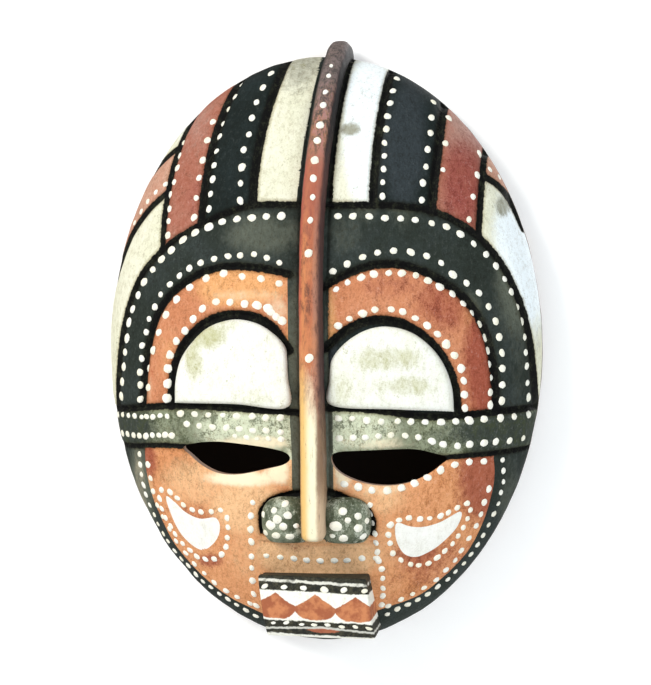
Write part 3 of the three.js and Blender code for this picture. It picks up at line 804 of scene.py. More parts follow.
def relief(points):
    """How far the face stands off the plain dome, and how far each point is outside the painted lines."""
    deepest = np.zeros(len(points))
    line_gap = np.full(len(points), 9.0)
    for name, (line, width, depth) in CARVED.items():
        away = distance_to(points, through(line, LINE_STEP))
        profile = np.clip(1 - (away / (width * 0.6)) ** 2, 0, 1) ** 1.3
        shoulder = 0.45 * np.clip(1 - away / (width * 0.5 + 4.0), 0, 1) ** 2
        deepest = np.maximum(deepest, depth * carving().line_depth * profile + shoulder)
        if name not in UNPAINTED:
            line_gap = np.minimum(line_gap, away - width / 2)
    height = -deepest
    for slit in SLITS.values():
        away = distance_to(points, slit_outline(slit), closed=True)
        height -= carving().slit_rounding * np.clip(1 - away / 3.2, 0, 1) ** 2
    lip = smoothstep(points[:, 0], -31, -28) * smoothstep(-points[:, 0], -30, -27)
    height -= lip * smoothstep(points[:, 1], -113, -111) * smoothstep(-points[:, 1], 94, 97)
    lumps = ripple(points, 15.0, 2.0)
    knife = ripple(points, 5.0, 5.0)
    return height + carving().undulation * (lumps + 0.35 * knife), line_gap


def front_sheet():
    """A closed block with the carved face in front, straight sides and a flat back."""
    places, faces = triangulated(sheet_points(carving().mesh_step))
    points = from_chart(places)
    height, _ = relief(points)
    edge = np.hypot(places[:, 0] / CHART_WIDTH, places[:, 1] / CHART_HEIGHT)
    on_rim = edge > 0.9995
    height *= smoothstep(-edge, -1.0, -0.975)
    along = np.array([front_normal(x, z) if e < 0.999 else Vector((x, 0, z)).normalized()
                      for (x, z), e in zip(points, edge)])
    out = front_out(points[:, 0], points[:, 1])
    out[on_rim] = RIM_DEPTH
    x = points[:, 0] + along[:, 0] * height
    z = points[:, 1] + along[:, 2] * height
    vertices = np.column_stack([x, z, out - along[:, 1] * height]).tolist()
    last = [i for i in np.argsort(np.arctan2(places[:, 1], places[:, 0])) if on_rim[i]]
    rim = points[last]
    for off_wall, inset in SIDE_ROWS:
        ring = []
        for x, z in rim:
            wobble = 0.35 * scatter(x / 60, z / 60, off_wall / 30)
            share = 1 - (inset + wobble) / HALF_WIDTH
            ring.append(len(vertices))
            vertices.append([x * share, z * share, float(off_wall)])
        faces += [[last[k], last[k - 1], ring[k - 1], ring[k]] for k in range(len(ring))]
        last = ring
    faces.append(last[::-1])
    return carved_piece("mask_shell_carved", vertices, faces)


def hollow_cutter():
    """The hollow's form: a smaller dome with gouge marks, flattened towards the solid land at the top."""
    rings, turns = 70, 168
    gouge = Vector((11, 26, 16))  # how wide, tall and deep one gouge mark reaches
    vertices, faces = [], []
    for ring in range(rings + 1):
        angle = ring / rings * math.pi / 2
        for turn in range(turns):
            around = turn / turns * 2 * math.pi
            radius = math.sin(angle) ** (2 / DOME_FULLNESS) if ring else 0.004
            x = (HALF_WIDTH - SIDE_WALL) * radius * math.cos(around)
            z = (HALF_HEIGHT - SIDE_WALL) * radius * math.sin(around)
            out = RIM_DEPTH + (DOME_RISE - FRONT_WALL) * math.cos(angle)
            cell = noise.voronoi(Vector((x / gouge.x, z / gouge.y, out / gouge.z)))[0][0]
            mark = carving().gouge_depth * (0.55 - 1.6 * cell * cell)
            grow = 1 + mark / max(30.0, math.hypot(x, z))
            over = z * grow - HOLLOW_TOP
            z = HOLLOW_TOP - math.log1p(math.exp(-over / 3.0)) * 3.0 if over > -40 else z * grow
            vertices.append([x * grow, z, out + mark * math.cos(angle)])
    for ring in range(rings):
        for turn in range(turns):
            a, b = ring * turns + turn, ring * turns + (turn + 1) % turns
            faces.append([a, b, b + turns, a + turns])
    rim = range(rings * turns, (rings + 1) * turns)
    back = range(len(vertices), len(vertices) + turns)
    vertices += [[*vertices[i][:2], -6.0] for i in rim]
    faces += [[rim[k - 1], rim[k], back[k], back[k - 1]] for k in range(turns)]
    faces += [list(back), list(range(turns))[::-1]]
    return facing_out(carved_piece("hollow", vertices, faces))


def prism(name, outline, low, high, flare):
    """An outline made solid from one distance off the wall to another, wider at the back by flare."""
    middle = outline.mean(0)
    back = middle + (outline - middle) * flare
    count = len(outline)
    vertices = [[*p, low] for p in back] + [[*p, high] for p in outline]
    faces = [[k, (k + 1) % count, count + (k + 1) % count, count + k] for k in range(count)]
    faces += [list(range(count))[::-1], list(range(count, 2 * count))]
    return facing_out(carved_piece(name, vertices, faces))


def recess_cutters():
    """The sunk place for the strap and the deeper pocket behind the ring."""
    low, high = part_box("hanger_ring")
    ring_low, ring_high = in_oval(low), in_oval(high)
    strap_low = in_oval(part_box("hanger_strap")[0])[1]
    half = (ring_high[0] - ring_low[0]) / 2 + 1.75
    top = ring_high[1] + 2
    axis = ring_low[1] + 1
    for name, bottom, depth in (("strap_recess", strap_low - 2, 4.5), ("nail_pocket", axis - 3.4, 12)):
        bpy.ops.mesh.primitive_cube_add(size=1)
        cutter = added(name)
        points = corner_shares(cutter) * (2 * half, top - bottom, depth + 3)
        set_coordinates(cutter, points + (0, (top + bottom) / 2, (depth - 3) / 2))
        apply(cutter, "BEVEL", width=1.1 * MM, segments=3)
        yield cutter


# Places of a tone: x, z, half width, half height and share. The worn ones are rubbed down to the pale ground,
# except the one on the left jaw, which is a painted highlight.
# The light and deep ones are partly the paint's own uneven tone and partly painted light and painted shade,
# for light from the upper left.
TONES = {
    "worn": [
        (-37, -63.5, 24, 5.5, 1.0), (-18, -60, 9, 8, 1.0), (-19, 20, 8, 9, 0.5), (-34, 27, 24, 5, 0.45),
        (13, -62, 7, 9, 0.8), (30, -68, 26, 5, 0.45), (-28, -45.5, 30, 4, 0.75), (28, -45.5, 26, 4, 0.55),
        # (-93, -70) on the left jaw is a painted highlight
        (-84, -20, 3, 12, 0.3), (-93, -70, 6, 24, 0.42),
    ],
    "light": [
        # painted light among these: (0, -101) over the upper lip where the nose and mouth shade it, (-93,
        # -75) down the left jaw as a painted highlight, and (43, 100) and (24, 112) as cool painted light on
        # the right crown's stripes
        (-38, 31, 30, 13, 0.9), (-74, -5, 10, 22, 0.35), (-36, -76, 24, 20, 0.9), (-36, -104, 14, 22, 0.45),
        (30, -72, 20, 13, 0.6), (36, -96, 14, 20, 0.4), (0, -101, 36, 16, 1.5), (-60, -66, 26, 16, 0.6),
        (-34, -39, 29, 15, 1.15), (20, -39, 25, 14, 0.95), (-25, 57, 28, 13, 0.62), (14, 58, 14, 14, 0.3),
        (-10, 5, 5, 40, 0.8), (-10, -50, 5, 34, 1.1), (8, 5, 4, 40, 0.8), (8, -50, 4, 34, 1.1),
        (-93, -75, 9, 34, 1.0), (94, -75, 8, 30, 0.4), (100, 0, 8, 40, 0.3), (-66, 116, 14, 24, 0.45),
        (74, 114, 16, 26, 0.8), (76, 20, 7, 12, 0.6), (43, 100, 12, 44, 1.0), (24, 112, 14, 52, 1.2),
        (101, 52, 17, 52, 1.2),
    ],
    "deep": [
        # painted shade among these: (84, -8), (66, 24), (38, 32), (62, -42), (92, -40) and (84, -62) darken
        # the right side of the arch, the band and the cheek
        (84, -8, 15, 44, 1.0), (66, 24, 24, 20, 0.6), (38, 32, 26, 9, 0.4), (62, -42, 13, 8, 0.6),
        (-55, -106, 10, 5, 0.8), (-88, -55, 8, 13, 0.85), (-70, -107, 18, 10, 0.3), (-64, -85, 20, 10, 0.5),
        (84, -62, 18, 32, 1.0), (60, -106, 30, 16, 0.5), (50, -101, 18, 10, 0.6), (-102, -40, 28, 14, 1.0),
        (92, -40, 38, 15, 1.0), (-14, 146, 18, 22, 0.75), (16, 109, 7, 4.5, 0.85), (91, 72, 5, 8, 0.8),
        (72, 84, 14, 34, 0.7), (-60, 76, 10, 14, 0.4),
    ],
    "lid": [
        (-54, 7, 14, 9, 0.75), (-61, -4, 7, 13, 0.6), (-44, 12, 12, 5, 0.5), (-30, -22, 14, 7, 0.3),
        (36, -4, 24, 8, 0.6), (45, -17, 18, 7, 0.6), (14, -18, 8, 10, 0.35),
    ],
}


def tone(points, name):
    """How strongly each point lies in the places of that tone."""
    share = np.zeros(len(points))
    for x, z, width, tall, most in TONES[name]:
        spot = np.hypot((points[:, 0] - x) / width, (points[:, 1] - z) / tall)
        share = np.maximum(share, most * (1 - smoothstep(spot, 0.3, 1.25)))
    return share


def paint_fields(piece):
    """Gives each face its finish, and each vertex its tones and its distance from a painted line."""
    mesh = piece.data
    points = coordinates(piece)
    _, gap = relief(points[:, :2])
    steep = np.array([max(-front_normal(x, z).y, 0.2) for x, z in points[:, :2]])
    keep_number(piece, "line", gap / steep)
    off_strips = smoothstep(np.abs(points[:, 0] + 1.4), 10.2, 11.8)
    # the worn, light and deep tones hold painted light and painted shade as well as the paint's own tone and
    # wear
    keep_number(piece, "worn", tone(points, "worn") * off_strips)
    keep_number(piece, "light", tone(points, "light"))
    keep_number(piece, "deep", tone(points, "deep"))
    centres = read(mesh.polygons, "center", 3) / MM
    face = np.column_stack([centres[:, 0], centres[:, 2] - OVAL_Z])
    off_wall = -centres[:, 1]
    finish = np.full(len(face), CHALK)
    for outline, kind in fields():
        finish[inside(face, outline)] = kind
    radius = oval_radius(face[:, 0], face[:, 1])
    finish[(radius > SIDE_FROM) & (off_wall < RIM_DEPTH + 0.05)] = RIM
    buried = front_out(points[:, 0], points[:, 1]) - points[:, 2]
    corners = read(mesh.loops, "vertex_index", kind=np.int32)
    deepest = np.maximum.reduceat(buried[corners], read(mesh.polygons, "loop_start", kind=np.int32))
    finish[(deepest > SLIT_WALL) & (radius < SIDE_FROM)] = WOOD
    finish[off_wall < 0.12] = WOOD
    mesh.polygons.foreach_set("material_index", finish.astype(np.int32))


def shell_finishes():
    """The shell's paints and wood, in the order of their numbers."""
    c = bpy.context.scene.mask_paint
    return [
        paint("chalk_white", c.chalk[:], (0.69, 0.69, 0.53), light=(0.86, 0.93, 0.96),
              deep=(0.34, 0.34, 0.27),
              stain=OLIVE, stain_share=0.35, lines=True, soil=0.4),
        paint("moon_white", (0.84, 0.84, 0.8), (0.8, 0.8, 0.74), stain=OLIVE, stain_share=0, lines=True,
              soil=0.2),
        paint("slate_black", c.slate[:], (0.034, 0.044, 0.042), light=(0.107, 0.12, 0.093),
              stain=(0.06, 0.07, 0.06), stain_share=0.35, lines=True, dust=0.03),
        # the stripe black's cool light tone is painted light on the right crown's black stripe
        paint("stripe_black", c.stripe[:], (0.016, 0.025, 0.026), light=(0.03, 0.039, 0.044),
              stain=(0.04, 0.05, 0.05), stain_share=0.35, lines=True, dust=0.025),
        paint("terracotta", c.terracotta[:], (0.4, 0.17, 0.12), light=(0.46, 0.27, 0.22),
              deep=(0.285, 0.07, 0.056), stain=(0.16, 0.04, 0.025), stain_share=0.3, lines=True),
        paint("temple_rose", c.rose[:], (0.58, 0.35, 0.26), stain=(0.34, 0.13, 0.08), stain_share=0.3,
              lines=True),
        paint("arch_orange", c.orange[:], (0.6, 0.26, 0.14), light=(0.72, 0.36, 0.15),
              deep=(0.33, 0.085, 0.05),
              stain=(0.4, 0.11, 0.05), stain_share=0.4, lines=True),
        paint("cheek_orange", c.cheek[:], (0.58, 0.24, 0.1), light=(0.78, 0.47, 0.25),
              deep=(0.37, 0.11, 0.06),
              stain=(0.34, 0.1, 0.045), stain_share=0.4, lines=True),
        paint("band_slate", c.patina[:], (0.16, 0.18, 0.12), light=(0.58, 0.62, 0.46),
              deep=(0.042, 0.052, 0.042), stain=(0.05, 0.06, 0.03), stain_share=0.8, lines=True),
        paint("rim_wash", (0.21, 0.18, 0.165), (0.15, 0.125, 0.115), stain=(0.34, 0.22, 0.13),
              stain_share=0.7, soil=0.5),
        wood("carved_wood", (0.27, 0.15, 0.08), (0.13, 0.066, 0.034)),
    ]


class MASK_OT_shell(Operator):
    """Carves and paints the oval shell"""

    bl_idname = "mask.shell"
    bl_label = "Shell"

    def execute(self, context):
        piece = front_sheet()
        cut(piece, hollow_cutter())
        for side, points in SLITS.items():
            cut(piece, prism("slit_" + side, slit_outline(points), 25.0, 80.0, 1.12))
        for cutter in recess_cutters():
            cut(piece, cutter)
        paint_fields(piece)
        finish_piece(piece, shell_finishes(), 38, "wood", "mask_shell")
        return {"FINISHED"}


# ---- The crest and nose ----

CREST_REACH = 1.06  # the crest's whole length, where 1 is its way over the dome and the rest is its top


def crest_station(share):
    """A place up the crest: its height and out on the dome, its outward direction, and the size there."""
    start = -math.asin((abs(NOSE_END) / HALF_HEIGHT) ** (DOME_FULLNESS / 2))
    angle = start + min(share, 1.0) * (math.pi / 2 - start)
    height = math.copysign(HALF_HEIGHT * abs(math.sin(angle)) ** (2 / DOME_FULLNESS), angle)
    out = RIM_DEPTH + DOME_RISE * math.cos(angle)
    if share > 1:
        out = CREST_BACK + (RIM_DEPTH - CREST_BACK) * (CREST_REACH - share) / (CREST_REACH - 1)
    normal = Vector((math.sin(angle) / HALF_HEIGHT, math.cos(angle) / DOME_RISE)).normalized()
    nose = 1 - float(smoothstep(height, NOSE_END, NOSE_END + NOSE_LENGTH))
    half = CREST_HALF + (NOSE_HALF - CREST_HALF) * nose
    rise = CREST_RISE + (NOSE_RISE - CREST_RISE) * nose
    return height, out, normal, half, rise


class MASK_OT_crest(Operator):
    """Carves the crest that runs down the forehead and becomes the nose"""

    bl_idname = "mask.crest"
    bl_label = "Crest and Nose"

    def execute(self, context):
        bpy.ops.mesh.primitive_cylinder_add(vertices=28, radius=1, depth=1, end_fill_type="NGON")
        piece = added("crest_and_nose")
        edit(piece, lambda: slice_upright(190))
        for vertex in piece.data.vertices:
            share = (vertex.co.z + 0.5) * CREST_REACH
            turn = math.atan2(vertex.co.y, vertex.co.x)
            vertex.co = self.place(share, turn, math.hypot(vertex.co.x, vertex.co.y))
        facing_out(piece)
        keep_number(piece, "middle", [lean(z) for z in coordinates(piece)[:, 1]])
        finish_piece(piece, [crest_finish()], 50, "red_paint", "crest_bar")
        return {"FINISHED"}

    def place(self, share, turn, inner):
        """Where a point of the straight rod goes on the crest."""
        height, out, normal, half, rise = crest_station(share)
        end = min(share / 0.012, (CREST_REACH - share) / 0.012, 1.0)
        tight = 0.82 + 0.18 * math.sqrt(max(0.0, end * (2 - end)))
        c, s = math.cos(turn), math.sin(turn)
        across = half * math.copysign(abs(c) ** 0.72, c) * inner
        if s >= 0:
            top = rise - CREST_ROUNDING * 1.35
            lift = top * min(1.0, s / 0.42) + (rise - top) * max(0.0, (s - 0.42) / 0.58) ** 0.8
        else:
            lift = CREST_SEAT * s
        hand = 0.45 * scatter(height / 22, c / 2, 1.0, 3.0) + 0.2 * scatter(height / 7, c, s, 8.0)
        across = (across + 0.5 * hand * c) * tight
        lift = (lift + 0.6 * hand * max(0.0, s)) * tight * (inner if s > 0 else 1)
        middle = (lean(height - 6) + 2 * lean(height) + lean(height + 6)) / 4
        return in_frame(middle + across, height + lift * normal.x, out + lift * normal.y)


def slice_upright(rows):
    """Cuts what is selected into even layers up its height."""
    for i in range(1, rows):
        bpy.ops.mesh.select_all(action="SELECT")
        bpy.ops.mesh.bisect(plane_co=(0, 0, i / rows - 0.5), plane_no=(0, 0, 1))


def crest_finish():
    """Red-brown paint that is worn grey at the head and to a polished ivory at the nose, with painted sheen
    and painted shade across the ridge: pinkish grey right of its middle, and darker down its right side.
    """
    f = Finish("crest_paint", 0.5, 0.25)
    height = f.height()
    fine = f.noise(2.4, 6, 3, 2.0, 0.75)
    broad = f.noise(14, 4, 2, 5.0)
    grit = f.noise(0.75, 3, 1, 7.0, 0.8)
    streak = f.noise(1.3, 5, 14, 9.0, 0.7)
    loose = 0.8 * (fine - 0.5) + 0.6 * (broad - 0.5)
    across = f.along(0) + f.number("middle") * -1 + 2.2 * loose
    crown = (height + 20 * loose).rises(84, 112)
    head = (height + 30 * loose).rises(108, 138)
    red = f.coats(
        f.mix((0.5, 0.12, 0.075), (0.52, 0.19, 0.075), across.rises(-5.4, -3.2)),
        ((0.42, 0.13, 0.062), across.rises(-2.8, -0.2) * 0.9),
        # painted sheen: pinkish grey right of the ridge's middle
        ((0.34, 0.2, 0.15), across.rises(0.6, 2.4) * 0.55),
        ((0.09, 0.04, 0.03), (fine + 0.35 * grit).rises(0.62, 0.86) * 0.8),
        ((0.6, 0.24, 0.1), (broad + 0.5 * grit).rises(0.72, 0.9) * 0.5),
        ((0.31, 0.085, 0.06), (height + 40 * loose).rises(36, 80) * 0.65),
        ((0.36, 0.2, 0.19), (broad + 0.7 * grit).rises(0.72, 0.86) * crown * 0.8),
        ((0.4, 0.2, 0.05), (fine + 0.5 * streak).rises(0.66, 0.8) * crown * 0.55),
        ((0.15, 0.125, 0.12), head * 0.9),
        ((0.045, 0.04, 0.04), (fine + 0.6 * grit).rises(0.72, 0.9) * crown * 0.85),
        # painted shade: the right side darkened, and near black up on the crown, where it is also a black
        # edge
        ((0.05, 0.026, 0.026), across.rises(2.6, 5.0) * 0.92),
        ((0.012, 0.012, 0.013), across.rises(3.3, 4.6) * crown * 0.9),
        ((0.1, 0.035, 0.025), across.rises(-5.0, -6.4) * 0.8),
        ((0.03, 0.026, 0.025), across.rises(-4.2, -5.6) * crown * 0.85),
    )
    tip = (height + 24 * loose).rises(-60, -84)
    # painted shade down the nose's right side, paler towards the tip
    painted_shade_flank = f.mix((0.2, 0.1, 0.05), (0.55, 0.38, 0.24), tip)
    ivory = f.coats(
        f.mix((0.74, 0.48, 0.17), (0.84, 0.77, 0.55), across.rises(-4.0, 0.0)),
        (painted_shade_flank, across.rises(1.4, 3.4) * 0.92),
        ((0.4, 0.17, 0.07), across.rises(-4.4, -6.2) * 0.8),
    )
    polished = (height + 52 * loose + 2.8 * across).rises(-4, -46)
    cracks = (streak + 0.2 * grit).rises(0.68, 0.82) * 0.6
    f.set("Base Color", f.coats(red, (ivory, polished), ((0.07, 0.055, 0.04), cracks)))
    f.set("Roughness", 0.62 - 0.36 * polished + 0.16 * fine)
    f.bump(fine * 0.6 + grit * 0.25 + broad * 0.8, 0.4)
    return f.material


# ---- Nostrils ----

LOBE_INNER = 2.0  # how near the middle line the lobes begin
LOBE_RISE = 8.6  # how far they stand off the plain dome, and how far their backs are sunk in it
LOBE_SEAT = 2.0


class MASK_OT_nostrils(Operator):
    """Carves the dotted lobes each side of the nose"""

    bl_idname = "mask.nostrils"
    bl_label = "Nostrils"

    def execute(self, context):
        finish = paint("nostril_slate", (0.06, 0.075, 0.045), (0.24, 0.27, 0.19), stain=(0.5, 0.53, 0.43),
                       stain_share=0.8)
        for side in ("left", "right"):
            node = "nostril_" + side
            low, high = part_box(node)
            x0, z0, _ = in_oval(low)
            x1, z1, _ = in_oval(high)
            outer = x0 if side == "left" else x1
            inner = math.copysign(LOBE_INNER, outer)
            bpy.ops.mesh.primitive_uv_sphere_add(segments=56, ring_count=40, radius=1)
            piece = added("nostril_lobe_" + side)
            ball = read(piece.data.vertices, "co", 3)
            square = np.sign(ball) * np.abs(ball) ** 0.76
            x = (outer + inner) / 2 + square[:, 0] * abs(outer - inner) / 2 * 1.01
            z = (z0 + z1) / 2 - 0.8 + square[:, 2] * (z1 - z0) / 2 * 0.99
            foot = z0 + 1.2
            z = np.maximum(z, foot - 0.35 * (foot - z).clip(0))
            out = front_out(x, z) - ball[:, 1] * np.where(ball[:, 1] < 0, LOBE_RISE, LOBE_SEAT)
            out += 0.3 * ripple(np.column_stack([x, z, out]), 6.0, 3.0)
            set_coordinates(piece, np.column_stack([x, z, out]))
            finish_piece(facing_out(piece), [finish], 60, "black_paint", node)
        return {"FINISHED"}


# ---- Eyelids ----

LIDS = {
    "left": [
        (-71.2, -26.4), (-70.8, -16), (-68, -5), (-61.5, 4.3), (-52.5, 11.8), (-40.5, 15.2), (-29.5, 13.6),
        (-20.5, 8.3), (-14.2, 0.5), (-12.9, -12), (-13.2, -28.0), (-40, -26.7),
    ],
    "right": [
        (67.6, -30.2), (66.6, -18), (62.5, -6.5), (55.3, 2.9), (45.5, 9.6), (34, 11.9), (23.8, 9.6),
        (14.6, 3.6), (8.2, -4.5), (7.0, -14), (8.0, -26.8), (38, -28.9),
    ],
}
LID_STEP = 1.9
LID_ROUND = 2.6  # how far in from the outline a lid's edge is rounded
LID_EDGE = 1.2  # how far the outline is under the plain dome, and how far the lid's back is
LID_SEAT = 3.4


class MASK_OT_eyelids(Operator):
    """Carves the white half-disc lids over the slits"""

    bl_idname = "mask.eyelids"
    bl_label = "Eyelids"

    def execute(self, context):
        finish = paint("lid_white", (0.81, 0.82, 0.77), (0.78, 0.79, 0.68), deep=(0.5, 0.5, 0.29),
                       stain=(0.36, 0.35, 0.17), stain_share=0.4, soil=0.3)
        for side, points in LIDS.items():
            outline = np.vstack([through(points[:-2], 1.5), through(points[-3:] + points[:1], 1.5)[1:-1]])
            piece = self.pad("eyelid_" + side + "_carved", outline)
            keep_number(piece, "deep", tone(coordinates(piece), "lid"))
            finish_piece(piece, [finish], 50, "white_paint", "eyelid_" + side)
        return {"FINISHED"}

    def pad(self, name, outline):
        """A raised pad over an outline, rounded at its edge, with its sides sunk in the shell."""
        rise = carving().lid_rise
        low, high = outline.min(0), outline.max(0)
        across, up = (np.arange(low[k], high[k], LID_STEP) for k in (0, 1))
        spread = np.array([(x, z) for x in across for z in up])
        spread = spread[inside(spread, outline)]
        spread = spread[distance_to(spread, outline, closed=True) > LID_ROUND]
        middle = (low + high) / 2
        rings = [middle + (outline - middle) * (1 - inset / 30) for inset in (0, 0.35, 0.8, 1.5, 2.4)]
        top, faces = triangulated(np.vstack([*rings, spread]))
        kept = inside(np.array([top[face].mean(0) for face in faces]), outline)
        faces = [face for face, keep in zip(faces, kept) if keep]
        away = distance_to(top, outline, closed=True)
        edge = np.sqrt(np.clip(1 - (1 - np.clip(away / LID_ROUND, 0, 1)) ** 2, 0, 1))
        out = front_out(top[:, 0], top[:, 1]) - LID_EDGE + (rise + LID_EDGE) * edge
        vertices = np.column_stack([top, out + 0.3 * ripple(top, 13.0, 6.0) * edge]).tolist()
        count = len(outline)
        back = range(len(vertices), len(vertices) + count)
        vertices += [[x, z, float(front_out(x, z)) - LID_SEAT] for x, z in outline]
        faces += [[k, (k + 1) % count, back[(k + 1) % count], back[k]] for k in range(count)]
        faces.append(list(back))
        return facing_out(carved_piece(name, vertices, faces))


# ---- Mouth ----

MOUTH_MIDDLE = -125.0


def mouth_finish():
    """The mouth's bands: black lips with thin white lines, and orange hills under white teeth."""
    f = Finish("mouth_paint", 0.6, 0.2)
    x = f.along(0)
    fine = f.noise(2.2, 6, 1, 3.0, 0.75)
    grit = f.noise(0.7, 3, 1, 6.0, 0.8)
    wander = 1.6 * (f.noise(5, 3, 1, 1.0) - 0.5) + 0.9 * (f.noise(1.3, 2, 1, 2.0) - 0.5)
    z = f.height() + 0.045 * x + wander
    worn = (fine + 0.35 * grit).rises(0.66, 0.9)
    white = f.mix((0.82, 0.81, 0.73), (0.5, 0.5, 0.4), worn * 0.7)
    black = f.mix((0.012, 0.013, 0.01), (0.07, 0.065, 0.04), (fine + 0.35 * grit).rises(0.56, 0.9))
    faded = (f.noise(6, 5, 1, 8.0) + 0.4 * fine).rises(0.58, 0.8)
    clay = f.mix((0.52, 0.2, 0.085), (0.33, 0.1, 0.045), faded)
    wave = f.node("ShaderNodeMath", {"operation": "PINGPONG"}, {0: x + 68.6, 1: 9.9})
    beside_peak = 9.9 - wave
    square = beside_peak * beside_peak
    belly = square * square * 0.00042
    hills = (z - (wave * 0.66 + -125.8)).rises(0.3, -0.3) * (z - (belly + -131.8)).rises(-0.35, 0.35)
    upper = (z - -113.6).rises(-0.9, -0.4) * (z - -113.6).rises(0.9, 0.4)
    lens = 1.5 - 0.02 * (x - 4.5) * (x - 4.5) - (z - -137.0).math("ABSOLUTE")
    sag = 0.06 * (x - 4.5).math("ABSOLUTE")
    pale = (z - -135.8 + sag).rises(-0.5, 0.0) * (z - -135.0 + sag).rises(0.3, -0.2)
    base = f.coats(
        white,
        (clay, hills),
        (black, z.rises(-118.4, -117.8)),
        (white, upper * f.noise(9, 3, 1, 12.0).rises(0.36, 0.5) * 0.8),
        (black, z.rises(-132.3, -132.9)),
        (f.mix(clay, (0.3, 0.08, 0.05), 0.6), lens.rises(0.0, 0.3)),
        (white, pale * 0.7),
        (white, z.rises(-139.3, -139.9)),
    )
    f.set("Base Color", base)
    f.set("Roughness", 0.55 + 0.25 * fine)
    f.bump(fine * 0.6 + grit * 0.3 + wander * 0.2, 0.35)
    return f.material


class MASK_OT_mouth(Operator):
    """Carves the box-shaped mouth"""

    bl_idname = "mask.mouth"
    bl_label = "Mouth"

    def execute(self, context):
        low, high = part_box("mouth_block")
        x0, z0, out1 = in_oval(low)
        x1, z1, out0 = in_oval(high)
        bpy.ops.mesh.primitive_cube_add(size=1)
        piece = added("mouth_carved")
        shares = corner_shares(piece) + 0.5
        set_coordinates(piece, shares * (x1 - x0, z1 - z0, out1 - out0) + (x0, z0, out0))
        self.chamfer(piece, z1, 5.0, 5.0, out1)
        self.chamfer(piece, z0, 8.0, 7.0, out1)
        round_edges(piece, 1.1, 3, 25)
        edit(piece, lambda: bpy.ops.mesh.subdivide(number_cuts=11))
        self.hand_cut(piece, z0, z1)
        finish_piece(piece, [mouth_finish()], 50, "white_paint", "mouth_block")
        return {"FINISHED"}

    def chamfer(self, piece, edge_z, tall, back, front):
        """Slopes the block's front off towards one edge, by a cut and a move."""
        sign = 1 if edge_z > MOUTH_MIDDLE else -1
        level = in_frame(0, edge_z - sign * tall, front)
        edit(piece, lambda: bpy.ops.mesh.bisect(plane_co=level, plane_no=(0, 0, 1)))
        points = coordinates(piece)
        moved = (np.abs(points[:, 1] - edge_z) < 0.01) & (np.abs(points[:, 2] - front) < 0.01)
        points[moved, 2] -= back
        set_coordinates(piece, points)

    def hand_cut(self, piece, z0, z1):
        """Narrows the top a little and makes the faces slightly uneven."""
        points = coordinates(piece)
        share = (points[:, 1] - z0) / (z1 - z0)
        points[:, 0] = 0.935 * points[:, 0] - 1.2 + 4.2 * (1 - share)
        points[:, 1] -= 0.028 * points[:, 0] * smoothstep(points[:, 2], 30, 55)
        low, high = points[:, 2].min(), points[:, 2].max()
        back = front_out(points[:, 0], points[:, 1]) - CREST_SEAT
        points[:, 2] = back + (points[:, 2] - low) * (high - back) / (high - low)
        points[:, 2] += 0.35 * ripple(points, 9.0, 4.0) * smoothstep(points[:, 2], 45, 60)
        points[:, 1] += 0.25 * ripple(points, 11.0, 9.0)
        set_coordinates(piece, points)


# ---- Dots ----


def dot_template():
    """One dab of thick paint, a unit across and a unit high, with its underside at -1."""
    bpy.ops.mesh.primitive_cone_add(vertices=11, radius1=0.5, radius2=0.38, depth=2, end_fill_type="NGON")
    dab = added("dab")
    for face in dab.data.polygons:
        face.select = face.normal.z > 0.9
    only(dab)
    bpy.ops.object.mode_set(mode="EDIT")
    bpy.ops.mesh.inset(thickness=0.16)
    bpy.ops.transform.translate(value=(0, 0, 0.22))
    bpy.ops.mesh.poke()
    bpy.ops.object.mode_set(mode="OBJECT")
    shape = np.array([v.co[:] for v in dab.data.vertices])
    faces = [list(f.vertices) for f in dab.data.polygons]
    bpy.data.objects.remove(dab, do_unlink=True)
    return shape, faces


class Dabs:
    """Dots of paint gathered into one mesh."""

    def __init__(self):
        self.shape, self.faces = dot_template()
        self.vertices = []
        self.polygons = []
        self.count = 0

    def add(self, place, normal, along, width, height, longer=1.1):
        """One dab at a point of the row frame, a little longer along the row than across."""
        salt = self.count * 1.37
        along = Matrix.Rotation(0.9 * scatter(salt, 3, 1), 3, normal) @ along
        side = normal.cross(along).normalized()
        along = side.cross(normal)
        longer = math.sqrt(longer * (1 + 0.22 * scatter(salt, 1, 2)))
        for x, y, z in self.shape:
            turn = math.atan2(y, x)
            lump = 1 + 0.16 * scatter(math.cos(turn) * 0.2 + salt, math.sin(turn) * 0.2, 0.3)
            reach = along * x * longer + side * y / longer
            self.vertices.append(place + reach * width * lump * MM + normal * z * height * MM)
        start = self.count * len(self.shape)
        self.polygons += [[start + i for i in f] for f in self.faces]
        self.count += 1

    def piece(self, name):
        return new_piece(name, [v[:] for v in self.vertices], self.polygons)


def surface_of(name):
    piece = bpy.data.objects[name]
    mesh = piece.data
    return BVHTree.FromPolygons([v.co[:] for v in mesh.vertices], [p.vertices[:] for p in mesh.polygons])


def seen_from_front(tree, x, z):
    """Where the front view's line at (x, z) meets a piece, with the direction that the surface faces."""
    hits = []
    for dx, dz in ((0, 0), (0.9, 0), (-0.9, 0), (0, 0.9), (0, -0.9)):
        place, normal, _, _ = tree.ray_cast(in_frame(x + dx, z + dz, 120), Vector((0, 1, 0)))
        if place is not None:
            hits.append((place, normal if normal.y < 0 else -normal))
    if not hits:
        raise RuntimeError(f"no surface for the dot at {x:.1f}, {z:.1f}")
    return hits[0][0], sum((normal for _, normal in hits), Vector()).normalized()


